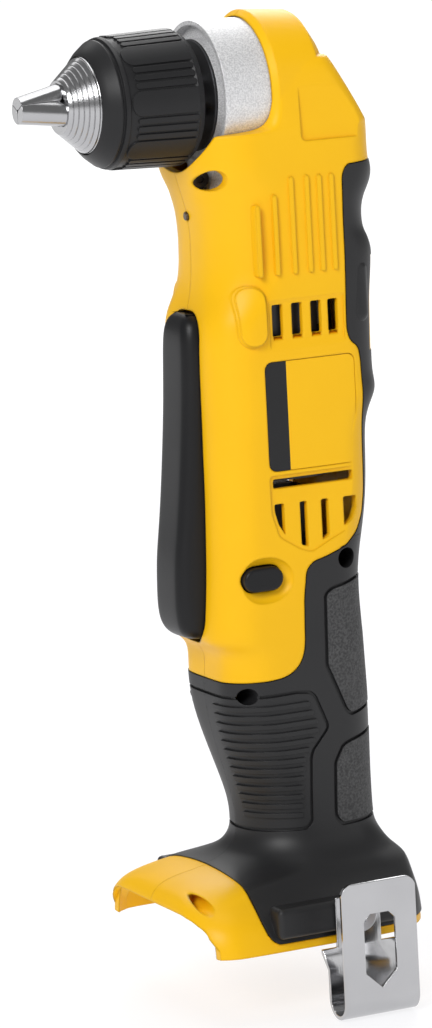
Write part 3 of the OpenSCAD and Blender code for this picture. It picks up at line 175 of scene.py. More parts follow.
def finish(name, look):
    material = bpy.data.materials.new(name)
    material.use_nodes = True
    material.node_tree.nodes.clear()
    wire = Wire(material.node_tree)
    place = wire.node("TexCoord", out="Object")
    cloud = wire.node("TexNoise", Vector=place, Scale=look.get("cloud", 60.0), Detail=4.0)
    drawn = wire.node("Mapping", Vector=place, Scale=look.get("drawn", (1, 1, 1)))
    grain = wire.node("TexNoise", Vector=drawn, Scale=look["grain"], Detail=3.0)
    colour = mixed(wire, cloud, look["dark"] + (1,), look["light"] + (1,))
    if "speckle" in look:  # darker pits of the grain
        pits = wire.node("ValToRGB", {"stops": ((0.38, (0, 0, 0, 1)), (0.62, (1, 1, 1, 1)))}, Fac=grain)
        colour = mixed(wire, pits, look["speckle"] + (1,), colour)
    if "strip" in look:  # one band of another colour, from the front edge
        edge, tone = look["strip"]
        across = wire.node("SeparateXYZ", out="X", Vector=place)
        colour = mixed(wire, across < edge, colour, tone + (1,))
    glow = look["light"] + (1,)
    if "near" in look:  # glow grows with the distance from the tool
        away = wire.node("VectorMath", {"operation": "LENGTH"}, out="Value", i0=place)
        share = wire.node("MapRange", Value=away, From_Min=look["near"][0], From_Max=look["near"][1])
        glow = mixed(wire, share, look["near"][2] + (1,), look["near"][3] + (1,))
    rough = (cloud - 0.5) * look.get("spread", 0.12) + look["rough"]
    rounded = wire.node("Bevel", {"samples": 4}, Radius=look.get("edge", 0.25 * mm))
    bump = wire.node("Bump", Strength=look["depth"], Distance=look.get("bumpHeight", 0.1 * mm),
                     Height=grain, Normal=rounded)
    shader = wire.node("BsdfPrincipled", Base_Color=colour, Roughness=rough, Normal=bump,
                       Metallic=look.get("metal", 0.0), Specular_IOR_Level=look.get("gloss", 0.5),
                       Emission_Color=glow, Emission_Strength=look.get("glow", 0.0))
    wire.node("OutputMaterial", Surface=shader)
    return material


finishes = {
    "shellYellow": dict(light=(0.93, 0.52, 0.006), dark=(0.88, 0.475, 0.005), rough=0.38, grain=2600.0,
                        depth=0.05, gloss=0.2, edge=0.8 * mm),
    "gripBlack": dict(light=(0.016, 0.016, 0.017), dark=(0.011, 0.011, 0.012), rough=0.46, grain=3200.0,
                      depth=0.12, gloss=0.4, edge=0.3 * mm),
    # grey of the textured rubber, made lighter still as painted sheen
    "padGreyAndSheen": dict(light=(0.085, 0.085, 0.086), dark=(0.055, 0.055, 0.056), speckle=(0.03, 0.03, 0.031),
                     rough=0.6, gloss=0.4, grain=1500.0, depth=0.9, bumpHeight=0.25 * mm, edge=0.2 * mm),
    "plateYellow": dict(light=(0.93, 0.52, 0.006), dark=(0.90, 0.49, 0.005), rough=0.34, gloss=0.2,
                        grain=2200.0, depth=0.03, strip=(0.0659, (0.02, 0.02, 0.021)), edge=0.15 * mm),
    "controlBlack": dict(light=(0.013, 0.013, 0.014), dark=(0.01, 0.01, 0.011), rough=0.36, grain=2800.0,
                         depth=0.06, gloss=0.22, edge=0.3 * mm),
    "sleeveBlack": dict(light=(0.017, 0.017, 0.018), dark=(0.012, 0.012, 0.013), rough=0.4, grain=2600.0,
                        depth=0.08, gloss=0.28, edge=0.25 * mm),
    "innerPlastic": dict(light=(0.05, 0.05, 0.055), dark=(0.035, 0.035, 0.038), rough=0.5, grain=1800.0,
                         depth=0.1),
    "fanPlastic": dict(light=(0.72, 0.69, 0.6), dark=(0.64, 0.61, 0.53), rough=0.5, grain=1600.0,
                       depth=0.1),
    "castAlloy": dict(light=(0.84, 0.84, 0.84), dark=(0.76, 0.76, 0.77), rough=0.42, spread=0.2,
                      grain=2200.0, depth=0.6, bumpHeight=0.15 * mm, metal=0.3, speckle=(0.58, 0.58, 0.59),
                      edge=0.5 * mm),
    "chuckSteel": dict(light=(0.52, 0.52, 0.53), dark=(0.42, 0.42, 0.43), rough=0.2, spread=0.08,
                       grain=300.0, depth=0.08, drawn=(14, 1, 1), metal=1.0, edge=0.2 * mm),
    "hookSteel": dict(light=(0.56, 0.56, 0.57), dark=(0.44, 0.44, 0.45), rough=0.16, spread=0.1,
                      grain=400.0, depth=0.1, drawn=(6, 1, 0.3), metal=1.0, edge=0.2 * mm),
    "machineSteel": dict(light=(0.66, 0.66, 0.68), dark=(0.5, 0.5, 0.52), rough=0.3, grain=500.0,
                         depth=0.12, drawn=(3, 1, 1), metal=1.0),
    # dark steel, and painted shade: the motor can behind the vents, the retainer in its recess and the
    # screw heads deep in their holes are this dark for the shade they sit in
    "darkSteelAndShade": dict(light=(0.07, 0.07, 0.075), dark=(0.04, 0.04, 0.043), rough=0.36, grain=900.0,
                      depth=0.12, metal=0.7),
    "ferriteGrey": dict(light=(0.06, 0.06, 0.062), dark=(0.04, 0.04, 0.04), rough=0.6, grain=1400.0,
                        depth=0.2),
    "enamelCopper": dict(light=(0.6, 0.24, 0.09), dark=(0.42, 0.15, 0.05), rough=0.28, grain=700.0,
                         depth=0.35, drawn=(1, 1, 3), metal=0.9),
    "contactBrass": dict(light=(0.75, 0.56, 0.22), dark=(0.6, 0.42, 0.15), rough=0.28, grain=800.0,
                         depth=0.1, metal=1.0),
    # the lens is coloured dark brown, which paints the shade of the hollow lamp seen through it
    "lensPaintedShade": dict(light=(0.1, 0.06, 0.025), dark=(0.07, 0.04, 0.018), rough=0.12, grain=900.0,
                      depth=0.03),
    "carbonBlack": dict(light=(0.03, 0.03, 0.03), dark=(0.018, 0.018, 0.018), rough=0.55, grain=1500.0,
                        depth=0.2),
    "paleFloor": dict(light=(0.22, 0.22, 0.225), dark=(0.21, 0.21, 0.215), rough=0.7, gloss=0.1,
                      grain=300.0, depth=0.0, glow=1.0,
                      near=(0.25, 2.6, (0.79, 0.79, 0.8), (0.94, 0.94, 0.94))),
}
made = {name: finish(name, look) for name, look in finishes.items()}
print("finishes made:", len(made))

# shaping helpers

beyond = 60.0  # cutters reach this far to each side, in mm
capShare = 0.05  # share of a loft's growth at its ends, so that no two caps coincide


def pieceFrom(name, bm):
    bmesh.ops.recalc_face_normals(bm, faces=bm.faces)
    mesh = bpy.data.meshes.new(name)
    bm.to_mesh(mesh)
    bm.free()
    piece = bpy.data.objects.new(name, mesh)
    bpy.context.scene.collection.objects.link(piece)
    return piece


def tool(*parts):  # several closed shapes as one cutter
    whole = bmesh.new()
    for part in parts:
        mesh = bpy.data.meshes.new("part")
        part.to_mesh(mesh)
        part.free()
        whole.from_mesh(mesh)
        bpy.data.meshes.remove(mesh)
    return pieceFrom("tool", whole)


def settle(piece):  # live modifiers become the mesh
    seen = piece.evaluated_get(bpy.context.evaluated_depsgraph_get())
    mesh = bpy.data.meshes.new_from_object(seen)
    piece.modifiers.clear()
    old, piece.data = piece.data, mesh
    bpy.data.meshes.remove(old)
    return piece


def carve(piece, other, how="DIFFERENCE", keep=False):
    cut = piece.modifiers.new("cut", "BOOLEAN")
    cut.operation, cut.object, cut.solver = how, other, "EXACT"
    settle(piece)
    if not keep:
        bpy.data.objects.remove(other)
    return piece


def copyOf(piece, name):
    twin = bpy.data.objects.new(name, piece.data.copy())
    bpy.context.scene.collection.objects.link(twin)
    return twin


def vertsOf(geometry):
    return [item for item in geometry if isinstance(item, bmesh.types.BMVert)]


def bothSides(bm):  # a mirrored twin across the parting plane
    twin = bmesh.ops.duplicate(bm, geom=bm.verts[:] + bm.edges[:] + bm.faces[:])["geom"]
    bmesh.ops.scale(bm, verts=vertsOf(twin), vec=(1, -1, 1))
    bmesh.ops.recalc_face_normals(bm, faces=bm.faces)
    return bm


def prism(outline, low=-beyond, high=beyond, rounding=0.0, shrink=0.0, steps=4):  # X and Z outline along Y
    bm = bmesh.new()
    face = bm.faces.new([bm.verts.new((x * mm, low * mm, z * mm)) for x, z in outline])
    if shrink:
        face.normal_update()
        rim = bmesh.ops.inset_region(bm, faces=[face], thickness=shrink * mm, use_boundary=True,
                                     use_even_offset=True)
        bmesh.ops.delete(bm, geom=rim["faces"], context="FACES")
    if rounding:
        bmesh.ops.bevel(bm, geom=bm.verts[:], offset=rounding * mm, segments=steps, profile=0.5,
                        affect="VERTICES", material=-1, clamp_overlap=True)
    top = bmesh.ops.extrude_face_region(bm, geom=bm.faces[:])["geom"]
    bmesh.ops.translate(bm, verts=vertsOf(top), vec=(0, (high - low) * mm, 0))
    return bm


def alongX(outline, start, end, rounding=0.0):  # Y and Z outline along X
    bm = prism(outline, start, end, rounding)
    bmesh.ops.rotate(bm, verts=bm.verts, cent=(0, 0, 0), matrix=Matrix.Rotation(-pi / 2, 3, "Z"))
    return bm


def block(x0, x1, y0, y1, z0, z1, rounding=0.0, steps=3):
    bm = bmesh.new()
    verts = bmesh.ops.create_cube(bm, size=mm)["verts"]
    bmesh.ops.scale(bm, verts=verts, vec=(x1 - x0, y1 - y0, z1 - z0))
    bmesh.ops.translate(bm, verts=verts, vec=Vector((x0 + x1, y0 + y1, z0 + z1)) * mm / 2)
    if rounding:
        bmesh.ops.bevel(bm, geom=bm.edges[:], offset=rounding * mm, segments=steps, profile=0.5,
                        affect="EDGES", material=-1)
    return bm


def rod(axis, place, radius, start, end, sides=48):  # place holds the two other coordinates
    bm = bmesh.new()
    verts = bmesh.ops.create_cone(bm, cap_ends=True, segments=sides, radius1=radius * mm,
                                  radius2=radius * mm, depth=(end - start) * mm)["verts"]
    turn = {"X": Matrix.Rotation(pi / 2, 3, "Y"), "Y": Matrix.Rotation(pi / 2, 3, "X")}
    if axis in turn:
        bmesh.ops.rotate(bm, verts=verts, cent=(0, 0, 0), matrix=turn[axis])
    spot = list(place)
    spot.insert("XYZ".index(axis), (start + end) / 2)
    bmesh.ops.translate(bm, verts=verts, vec=Vector(spot) * mm)
    return bm


def turned(profile, sides=96):  # place along X and radius, spun about the spindle
    bm = bmesh.new()
    verts = [bm.verts.new((x * mm, 0, r * mm)) for x, r in profile]
    edges = [bm.edges.new(pair) for pair in zip(verts, verts[1:] + verts[:1])]
    bmesh.ops.spin(bm, geom=verts + edges, cent=(0, 0, 0), axis=(1, 0, 0), angle=2 * pi, steps=sides,
                   use_merge=True)
    bmesh.ops.remove_doubles(bm, verts=bm.verts, dist=1e-7)
    loose = [edge for edge in bm.edges if not edge.link_faces]
    bmesh.ops.delete(bm, geom=loose, context="EDGES")
    return bm


def corners(x0, x1, half, front, back, steps=6):  # one rounded section, points in X and Y
    points = []
    for x, y, radius, start in ((x1, half, back, 0), (x0, half, front, 90), (x0, -half, front, 180),
                                (x1, -half, back, 270)):
        cx = x - radius if x == x1 else x + radius
        cy = y - radius if y > 0 else y + radius
        for k in range(steps + 1):
            a = radians(start + 90 * k / steps)
            points.append((cx + radius * cos(a), cy + radius * sin(a)))
    return points


def loft(rows, grow=0.0, level=2):  # rows of height, front, back, half width and two corner radii
    bm = bmesh.new()
    rings = []
    lift = grow * capShare
    ends = {0: lift, len(rows) - 1: -lift}
    for k, (z, x0, x1, half, front, back) in enumerate(rows):
        z += ends.get(k, 0.0)
        points = corners(x0 - grow, x1 + grow, half + grow, max(front + grow, 0.4), max(back + grow, 0.4))
        ring = bmesh.ops.create_circle(bm, segments=len(points), radius=mm)["verts"]
        for vert, (x, y) in zip(ring, points):
            vert.co = Vector((x, y, z)) * mm
        rings.append(list({edge for vert in ring for edge in vert.link_edges}))
    for upper, lower in zip(rings, rings[1:]):
        bmesh.ops.bridge_loops(bm, edges=upper + lower)
    for ring in (rings[0], rings[-1]):
        cap = bmesh.ops.edgeloop_fill(bm, edges=ring)["faces"]
        bmesh.ops.inset_region(bm, faces=cap, thickness=0.6 * mm, use_even_offset=True)
    piece = pieceFrom("loft", bm)
    smooth = piece.modifiers.new("smooth", "SUBSURF")
    smooth.levels = smooth.render_levels = level
    return settle(piece)


def slab(low, high, half=70.0):  # everything between two heights
    return tool(block(0, 160, -half, half, low, high))


def sidePart(piece, side, name, gap=0.02):  # the half of a shape on one side of the parting plane
    twin = copyOf(piece, name)
    bm = bmesh.new()
    bm.from_mesh(twin.data)
    bmesh.ops.bisect_plane(bm, geom=bm.verts[:] + bm.edges[:] + bm.faces[:], dist=1e-7,
                           plane_co=(0, side * gap * mm, 0), plane_no=(0, -side, 0), clear_outer=True)
    onPlane = {vert for vert in bm.verts if abs(vert.co.y - side * gap * mm) < 1e-6}
    rim = [edge for edge in bm.edges if edge.is_boundary and onPlane.issuperset(edge.verts)]
    bmesh.ops.holes_fill(bm, edges=rim, sides=0)
    bmesh.ops.recalc_face_normals(bm, faces=bm.faces)
    bm.to_mesh(twin.data)
    bm.free()
    return twin


def dress(piece, body, slot, material, *nodes, angle=38.0):
    piece.data.materials.clear()
    piece.data.materials.append(made[material])
    piece.data.shade_smooth()
    piece.data.set_sharp_from_angle(angle=radians(angle))
    even = piece.modifiers.new("even", "WEIGHTED_NORMAL")
    even.keep_sharp = True
    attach(piece, body)
    if nodes:
        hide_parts(*nodes)
    return piece


def softened(node, name, width=0.0, segments=2):  # merged copy of a CAD node, with worn edges
    bm = bmesh.new()
    bm.from_mesh(frame["nodes"][node].data)
    bmesh.ops.remove_doubles(bm, verts=bm.verts, dist=1e-6)
    bmesh.ops.dissolve_limit(bm, angle_limit=radians(0.5), verts=bm.verts, edges=bm.edges)
    piece = pieceFrom(name, bm)
    if width:
        worn = piece.modifiers.new("worn", "BEVEL")
        worn.width, worn.segments = width * mm, segments
        worn.limit_method, worn.angle_limit = "ANGLE", radians(40)
    return piece


# body: height, front, back, half width, front corner, back corner

axisX = 72.0
body = {
    "wall": 2.4, "skin": 1.5, "proud": 0.2,
    "rows": [
        (9.4, 66.5, 86.9, 19.6, 3, 6), (4.0, 66.5, 89.2, 22.2, 3, 6), (-4.0, 66.4, 93.7, 22.7, 3.2, 6),
        (-7.4, 65.4, 95.6, 22.85, 3.2, 6.5), (-9.0, 63.4, 96.8, 22.9, 4, 7.5),
        (-9.7, 60.0, 97.2, 23, 6, 8.5), (-10.0, 52.0, 97.4, 23, 12, 9),
        (-10.2, 45.6, 97.5, 23, 15.5, 9.2), (-10.7, 45.3, 97.6, 23, 16, 9.4),
        (-12.0, 45.4, 97.7, 23, 16, 9.6), (-14.5, 45.5, 97.7, 23, 16, 9.6),
        (-18.0, 45.5, 97.7, 23, 16, 9.6), (-20.5, 45.8, 97.9, 23, 16, 9.6),
        (-23.0, 46.3, 98.9, 23, 17, 10.5), (-26.3, 47.3, 98.9, 23, 19, 12),
        (-28.7, 47.9, 97.5, 23, 19, 12), (-32.5, 49.0, 95.7, 23, 19, 12),
        (-38.8, 49.4, 95.7, 23, 19, 12), (-41.2, 49.4, 97.1, 23, 19, 12),
        (-44.4, 49.3, 98.2, 23, 19, 12), (-47.6, 49.2, 98.3, 23, 19, 12),
        (-53.2, 48.7, 97.8, 22.9, 18, 12), (-58.5, 47.5, 97.4, 22.6, 14, 12),
        (-63.1, 45.8, 97.3, 22.55, 12.5, 12), (-77.0, 45.4, 97.0, 22.35, 12.5, 12),
        (-80.5, 45.4, 97.3, 22.3, 12.5, 12), (-83.5, 45.3, 97.9, 22.3, 12.5, 12),
        (-86.2, 45.3, 97.3, 22.3, 12.5, 12), (-91.8, 45.2, 94.1, 22.2, 12.5, 12),
        (-100.0, 45.0, 93.8, 22.1, 12.5, 12), (-111.2, 44.9, 93.6, 22.0, 12.5, 12),
        (-122.0, 44.4, 92.2, 21.8, 12.5, 12), (-134.4, 43.9, 89.4, 21.5, 12.5, 12),
        (-148.2, 42.5, 90.2, 21.05, 12.5, 12), (-151.5, 42.3, 90.4, 21.05, 12.5, 12),
        (-154.2, 47.2, 90.6, 21.0, 12.5, 12), (-161.4, 46.2, 91.3, 20.7, 13, 13),
        (-171.0, 46.4, 92.1, 19.9, 13, 13), (-181.0, 48.5, 92.5, 18.9, 14.3, 13),
        (-192.4, 51.7, 92.7, 18.0, 16, 13), (-200.0, 53.6, 93.0, 17.5, 17, 13),
        (-206.2, 53.9, 93.1, 17.5, 17, 13), (-209.0, 53.5, 93.6, 18.2, 17.6, 13),
        (-211.2, 52.3, 94.7, 19.2, 18.4, 13.6), (-213.2, 50.6, 95.8, 20.6, 19.5, 14.2),
        (-214.9, 47.2, 97.0, 22.2, 21, 15), (-216.1, 43.0, 98.2, 23.6, 22, 15.6),
        (-216.9, 38.4, 99.0, 24.4, 22, 16), (-217.7, 33.4, 99.7, 25.2, 21, 16.4),
        (-218.6, 30.2, 100.2, 26.0, 18, 16.8), (-219.9, 27.9, 100.4, 27.4, 15, 17.3),
        (-221.4, 26.4, 100.3, 29.2, 13, 17.8), (-223.4, 25.4, 99.8, 32.2, 13, 18.4),
        (-226.6, 24.8, 99.7, 35.6, 13, 19.3), (-230.8, 24.7, 99.6, 37.5, 13, 20),
        (-234.8, 24.7, 99.7, 38.0, 13, 20),
    ],
    "waist": -206.2, "bayTop": -222.0,
    "head": [(66.4, 0.0), (66.4, 20.5), (68.5, 22.4), (81.2, 21.5), (82.0, 21.0), (86.0, 15.8),
             (86.3, 15.0), (86.3, 0.0)],
    "headRoom": [(60.0, 0.0), (60.0, 19.4), (73.8, 19.4), (81.2, 11.5), (84.2, 9.3), (84.2, 0.0)],
    "solid": (69.0, -13.0), "collar": 20.7, "collarEnd": 69.4,
    "slot": (9.7, -59.0, -152.0), "slotMouth": (39.5, 30.0, 7.5),  # middle, depth and corner
    "ribs": [(59.3, -29.6), (64.6, -27.2), (69.9, -22.6), (74.7, -22.6), (78.5, -22.7), (82.3, -22.8)],
    "ribEnd": -49.4, "ribWide": 1.45, "ribOut": 23.5,
    "screws": [(49.75, -22.42, 2.9), (82.24, -130.3, 2.9), (51.25, -166.3, 2.4), (30.8, -221.5, 1.95)],
    "slanted": (30.8, -26.2, -221.5, -2.0, -12.0),  # hole in the foot: mouth, turn and end
    "lined": (1, 2), "lining": 0.8, "screwDeep": -5.9, "boss": 4.4, "bossEnd": -2.0,
    "barrel": (20.3, -41.6, -13.2),
    "arch": [(0, -224.0), (12.9, -224.0), (20.3, -224.1), (25.2, -224.9), (30.1, -226.9), (32.1, -228.9),
             (34.1, -231.2), (36.4, -234.4), (36.4, -242.0)],  # half outline in Y and Z
    "archRib": (28.4, 33.5, -224.3), "step": (0.3, 0.25),
    "ribRoom": (1.2, 0.9, 0.99, 0.12), "ribFront": (-0.5, 1.8, 0.995, 0.06),  # ends, narrowing and drop
    "stepEdge": [(0, -212.0), (43.5, -212.0), (43.5, -222.0), (43.4, -226.0), (44.5, -230.0),
                 (46.7, -232.4), (130, -232.4), (130, -241), (0, -241)],
    "backPanel": (18.4, -73.5, -47.0), "bumper": (90.2, -19.6, 3.0, -65.2, -47.2),
    "pill": [(52.9, -52.2), (60.2, -52.2), (60.2, -68.1), (52.9, -68.1)], "pillOut": 1.5,
}
blackEdge = [
    (87.2, -20.6), (85.7, -23.6), (85.1, -66.4), (86.0, -69.6), (88.6, -71.6), (89.3, -75.0),
    (89.9, -94.0), (89.9, -112.0), (89.0, -118.6), (86.4, -123.2), (82.0, -126.7), (76.0, -128.8),
    (71.4, -129.9), (69.3, -132.2), (68.3, -140.0), (68.0, -152.2), (67.5, -155.6), (66.2, -158.4),
    (64.1, -160.4), (61.2, -161.6), (57.0, -162.1), (46.0, -162.6), (15.0, -162.8), (15.0, -214.3),
    (43.4, -214.3), (43.4, -222.0), (43.3, -226.0), (44.4, -230.0), (46.6, -232.3), (101.0, -232.3),
    (120.0, -226.0), (120.0, -19.0),
]
rows = body["rows"]
solidX, solidZ = body["solid"]
innerRows = [(z - body["wall"] * (k == 0), max(x0, solidX) if z > solidZ else x0, *rest)
             for k, (z, x0, *rest) in enumerate(rows) if z >= body["waist"]]
footRows = [row for row in rows if row[0] <= body["waist"]] + [(-240.0,) + rows[-1][1:]]
shell = carve(loft(rows), pieceFrom("head", turned(body["head"])), "UNION")


def ribs(look):
    parts = []
    for x, top in look["ribs"]:
        w = look["ribWide"] / 2
        bar = prism([(x - w, look["ribEnd"]), (x + w, look["ribEnd"]), (x + w, top), (x - w, top)],
                    -look["ribOut"], -18.0, rounding=w * 0.98)
        parts.append(bothSides(bar))
    return tool(*parts)


def pill(look, grow, spread):  # soft bump on the front corner, following the body
    (x0, z1), (x1, z0) = look["pill"][0], look["pill"][2]
    x0, x1, z0, z1 = x0 - spread, x1 + spread, z0 - spread, z1 + spread
    outline = [(x0, z1), (x1, z1), (x1, z0), (x0, z0)]
    cutter = tool(bothSides(prism(outline, -40, -12, rounding=3.4 + spread, steps=8)))
    return carve(carve(loft(rows, grow), cutter, "INTERSECT"), loft(rows, -1.0))


def archBar(outline, start, end, narrow=1.0, drop=0.0):
    half = [(y * narrow, z - drop) for y, z in outline]
    return tool(alongX(half + [(-y, z) for y, z in reversed(half[1:])], start, end, 1.5))


def openFoot(piece, look):  # bay, then the room under the rib, then the arch in front of it
    start, end, low = look["archRib"]
    lower = [(y, min(z, low)) for y, z in look["arch"]]
    bay = tool(block(end, 140, -beyond, beyond, -239, look["bayTop"]))
    carve(piece, carve(loft(footRows, -look["wall"]), bay, "INTERSECT"))
    back, ahead, narrow, drop = look["ribRoom"]  # outlines differ a little, so no faces coincide
    room = archBar(lower, start + back, end + ahead, narrow, drop)
    carve(piece, carve(loft(footRows, -look["wall"] - 0.15), room, "INTERSECT"))
    back, ahead, narrow, drop = look["ribFront"]
    carve(piece, archBar(lower, start + back, start + ahead, narrow, drop))
    carve(piece, archBar(look["arch"], 10, start))
    return piece


shell = carve(shell, ribs(body), "UNION")
for grow, spread in ((body["pillOut"] / 2, 0.5), (body["pillOut"], 0.0)):
    shell = carve(shell, pill(body, grow, spread), "UNION")
shell = carve(shell, loft(innerRows, -body["wall"]))
shell = carve(shell, pieceFrom("headRoom", turned(body["headRoom"])))
bosses = tool(*[rod("Y", body["screws"][k][:2], body["boss"], -beyond, body["bossEnd"])
                for k in body["lined"]])
carve(bosses, loft(rows, -0.5), "INTERSECT")
radius, low, high = body["barrel"]
carve(bosses, tool(rod("Z", (axisX, 0), radius, low, high, 96)))
shell = carve(shell, bosses, "UNION")
openFoot(shell, body)
drop, inset = body["step"]
lowRows = [(z - drop, *rest) for z, *rest in footRows]
step = tool(prism(body["stepEdge"]))
shell = carve(shell, carve(step, loft(lowRows, -inset)))
print("body hollowed")

half, low, high = body["backPanel"]
skinRoom = carve(carve(loft(rows, 4.0), loft(rows, -body["skin"] - 0.1), "DIFFERENCE"),
                 tool(prism(blackEdge, rounding=1.2)), "INTERSECT")
carve(skinRoom, tool(block(88, 130, -half, half, low, high)))
shell = carve(shell, skinRoom)
black = carve(loft(rows, body["proud"]), loft(rows, -body["skin"]), "DIFFERENCE")
black = carve(black, tool(prism(blackEdge, rounding=1.2, shrink=0.22)), "INTERSECT")
carve(black, tool(block(88, 130, -half - 0.1, half + 0.1, low - 0.1, high + 0.1)))


def bumper(look):
    x, y, radius, low, high = look["bumper"]
    bar = rod("Z", (x, y), radius, low, high, 32)
    ends = [edge for edge in bar.edges if abs(edge.verts[0].co.z - edge.verts[1].co.z) < 1e-6]
    bmesh.ops.bevel(bar, geom=ends, offset=radius * 0.92 * mm, segments=6, profile=0.5, affect="EDGES",
                    material=-1)
    return carve(tool(bothSides(bar)), loft(rows, -1.0))


carve(black, bumper(body), "UNION")
print("overmould split from the body")

# openings of the body

vents = {
    "upper": [(62.6, 65.9), (68.6, 71.9), (74.5, 77.8), (79.8, 82.9)], "upperZ": (-66.3, -57.4),
    "lead": 2.6,
    "wide": (60.5, 85.2, -108.4, -105.7),
    "lower": [
        [(60.6, -112.7), (63.6, -112.7), (63.6, -121.6), (61.6, -118.4), (60.6, -114.6)],
        [(68.4, -112.8), (70.6, -112.8), (70.6, -125.7), (68.4, -124.9)],
        [(75.0, -112.9), (77.3, -112.9), (77.3, -123.2), (75.0, -124.3)],
        [(81.9, -113.0), (86.2, -113.0), (86.2, -117.0), (84.8, -119.6), (81.9, -121.2)],
    ],
    "shield": [(59.4, -104.7), (86.6, -104.7), (88.6, -110.0), (88.6, -116.6), (85.4, -121.2),
               (77.7, -124.3), (71.4, -127.3), (68.0, -126.1), (61.6, -122.0), (59.5, -115.0)],
    "shieldY": 21.35,
    "panel": [(59.4, -103.6), (87.2, -103.6), (87.2, -73.0), (59.4, -73.0)], "panelY": 21.4,
    "dish": (56.6, -133.7, 8.9, 6.7, 3.4), "dishY": 22.0,
    "buttonHole": (56.2, -133.2, 6.4, 3.8),
    "recess": [(74.0, -13.3), (96.0, -13.3), (96.0, 12.0), (74.0, 12.0)], "recessY": 22.2,
    # field outline in Y and Z
    "field": [(-27, -56.0), (-22.7, -56.0), (-22.0, -57.2), (-21.8, -67.4), (-22.9, -71.6), (-27, -71.6)],
    "fieldX": (61.6, 84.6), "light": (1.3, -33.08),
}


def stadium(x, z, halfLong, halfHigh, steps=10):
    points = []
    for side in (1, -1):
        for k in range(steps + 1):
            a = radians(-90 + 180 * k / steps)
            out = halfLong - halfHigh + halfHigh * cos(a)
            points.append((x + side * out, z + side * halfHigh * sin(a)))
    return points


def wedge(x0, x1, z, lead):  # sloping sill below an upper vent
    bm = prism([(x0, z - 0.01), (x1, z - 0.01), (x1, z - lead), (x0, z - lead)], -26.0, -19.4)
    low = [vert for vert in bm.verts if vert.co.z < (z - lead / 2) * mm and vert.co.y > -21 * mm]
    bmesh.ops.translate(bm, verts=low, vec=(0, 0, (lead - 0.05) * mm))
    return bothSides(bm)


def openBody(piece, look):
    low, high = look["upperZ"]
    slots = [bothSides(prism([(a, low), (b, low), (b, high), (a, high)], -40, -8, rounding=0.5))
             for a, b in look["upper"]]
    a, b, low2, high2 = look["wide"]
    slots.append(bothSides(prism([(a, low2), (b, low2), (b, high2), (a, high2)], -40, -8, rounding=0.6)))
    slots += [bothSides(prism(outline, -40, -8, rounding=0.5)) for outline in look["lower"]]
    carve(piece, tool(bothSides(prism(look["shield"], -40, -look["shieldY"], rounding=1.2))))
    carve(piece, tool(bothSides(prism(look["panel"], -40, -look["panelY"], rounding=2.2))))
    carve(piece, tool(bothSides(prism(look["recess"], -40, -look["recessY"], rounding=1.6))))
    carve(piece, tool(bothSides(alongX([(-y, z) for y, z in look["field"]], *look["fieldX"]))))
    carve(piece, tool(*slots))
    carve(piece, tool(*[wedge(a + 0.2, b - 0.2, low, look["lead"]) for a, b in look["upper"]]))
    x, z, wide, high, deep = look["dish"]
    bowl = bmesh.new()
    verts = bmesh.ops.create_uvsphere(bowl, u_segments=48, v_segments=24, radius=mm)["verts"]
    bmesh.ops.scale(bowl, verts=verts, vec=(wide, deep, high))
    bmesh.ops.translate(bowl, verts=verts, vec=Vector((x, -look["dishY"], z)) * mm)
    carve(piece, tool(bothSides(bowl)))
    carve(piece, tool(bothSides(prism(stadium(*look["buttonHole"]), -40, -8))))
    carve(piece, tool(rod("X", (0, 0), body["collar"], -20, body["collarEnd"], 96)))
    half, top, end = body["slot"]
    middle, depth, corner = body["slotMouth"]
    mouth = bmesh.new()
    verts = bmesh.ops.create_cube(mouth, size=mm)["verts"]
    bmesh.ops.scale(mouth, verts=verts, vec=(depth, half * 2, top - end))
    bmesh.ops.translate(mouth, verts=verts, vec=Vector((middle, 0, (top + end) / 2)) * mm)
    bars = [edge for edge in mouth.edges if abs(edge.verts[0].co.x - edge.verts[1].co.x) > depth / 3 * mm]
    bmesh.ops.bevel(mouth, geom=bars, offset=corner * mm, segments=8, profile=0.5, affect="EDGES",
                    material=-1)
    carve(piece, tool(mouth))
    radius, z = look["light"]
    carve(piece, tool(rod("X", (0, z), radius, 40, 56, 32)))
    return piece


def screwTool(lined=0.0):
    x, y, z, turn, deep = body["slanted"]
    ends = [body["screwDeep"]] * 3 + [deep]
    rods = [rod("Y", (at, height), radius + lined * (k in body["lined"]), -beyond, ends[k], 40)
            for k, (at, height, radius) in enumerate(body["screws"])]
    foot = rods[-1]
    bmesh.ops.rotate(foot, verts=foot.verts, cent=Vector((x, y, z)) * mm,
                     matrix=Matrix.Rotation(radians(turn), 3, "Z"))
    return tool(*rods)


openBody(shell, vents)
carve(shell, screwTool(body["lining"]))
dress(sidePart(shell, -1, "leftShell"), "housing", "housing", "shellYellow", "left_shell")
dress(sidePart(shell, 1, "rightShell"), "housing", "housing", "shellYellow", "right_shell")
bpy.data.objects.remove(shell)
print("shells opened and split")

# grips and spine

grip = {
    "seam": -124.6, "seamGap": 0.02,
    "ribEnds": [68.9, 70.0, 71.1, 71.5, 70.4, 68.8, 67.4, 67.1, 66.9, 66.8, 66.7, 66.6, 66.5],
    "ribTop": -170.1, "ribPitch": 2.67, "ribHigh": 1.4, "ribOut": 0.75, "ribInner": (-5.0, 15.0),
    "outlines": [
        [(30, -166.7), (65.2, -165.9), (69.3, -166.5), (71.0, -168.0), (75.0, -177.2), (74.6, -178.7),
         (70.2, -184.0), (69.6, -186.0), (69.5, -204.4), (67.6, -206.6), (30, -207.4)],
        [(110, -132.2), (85.9, -136.0), (76.6, -137.7), (74.3, -139.6), (74.0, -160.0), (80.2, -174.0),
         (82.2, -175.6), (110, -170.5)],
        [(110, -176.5), (81.4, -182.2), (79.0, -183.2), (76.3, -188.2), (76.1, -204.2), (78.1, -206.9),
         (110, -206.0)],
    ],
    "groove": 0.9, "grooveDeep": 0.8, "padOut": 0.35,
    "seat": (46.2, 88.0, 33.0, 40.2, -230.7, -221.9), "seatRound": 1.7, "insert": (69.872, -226.286, 3.45),
}


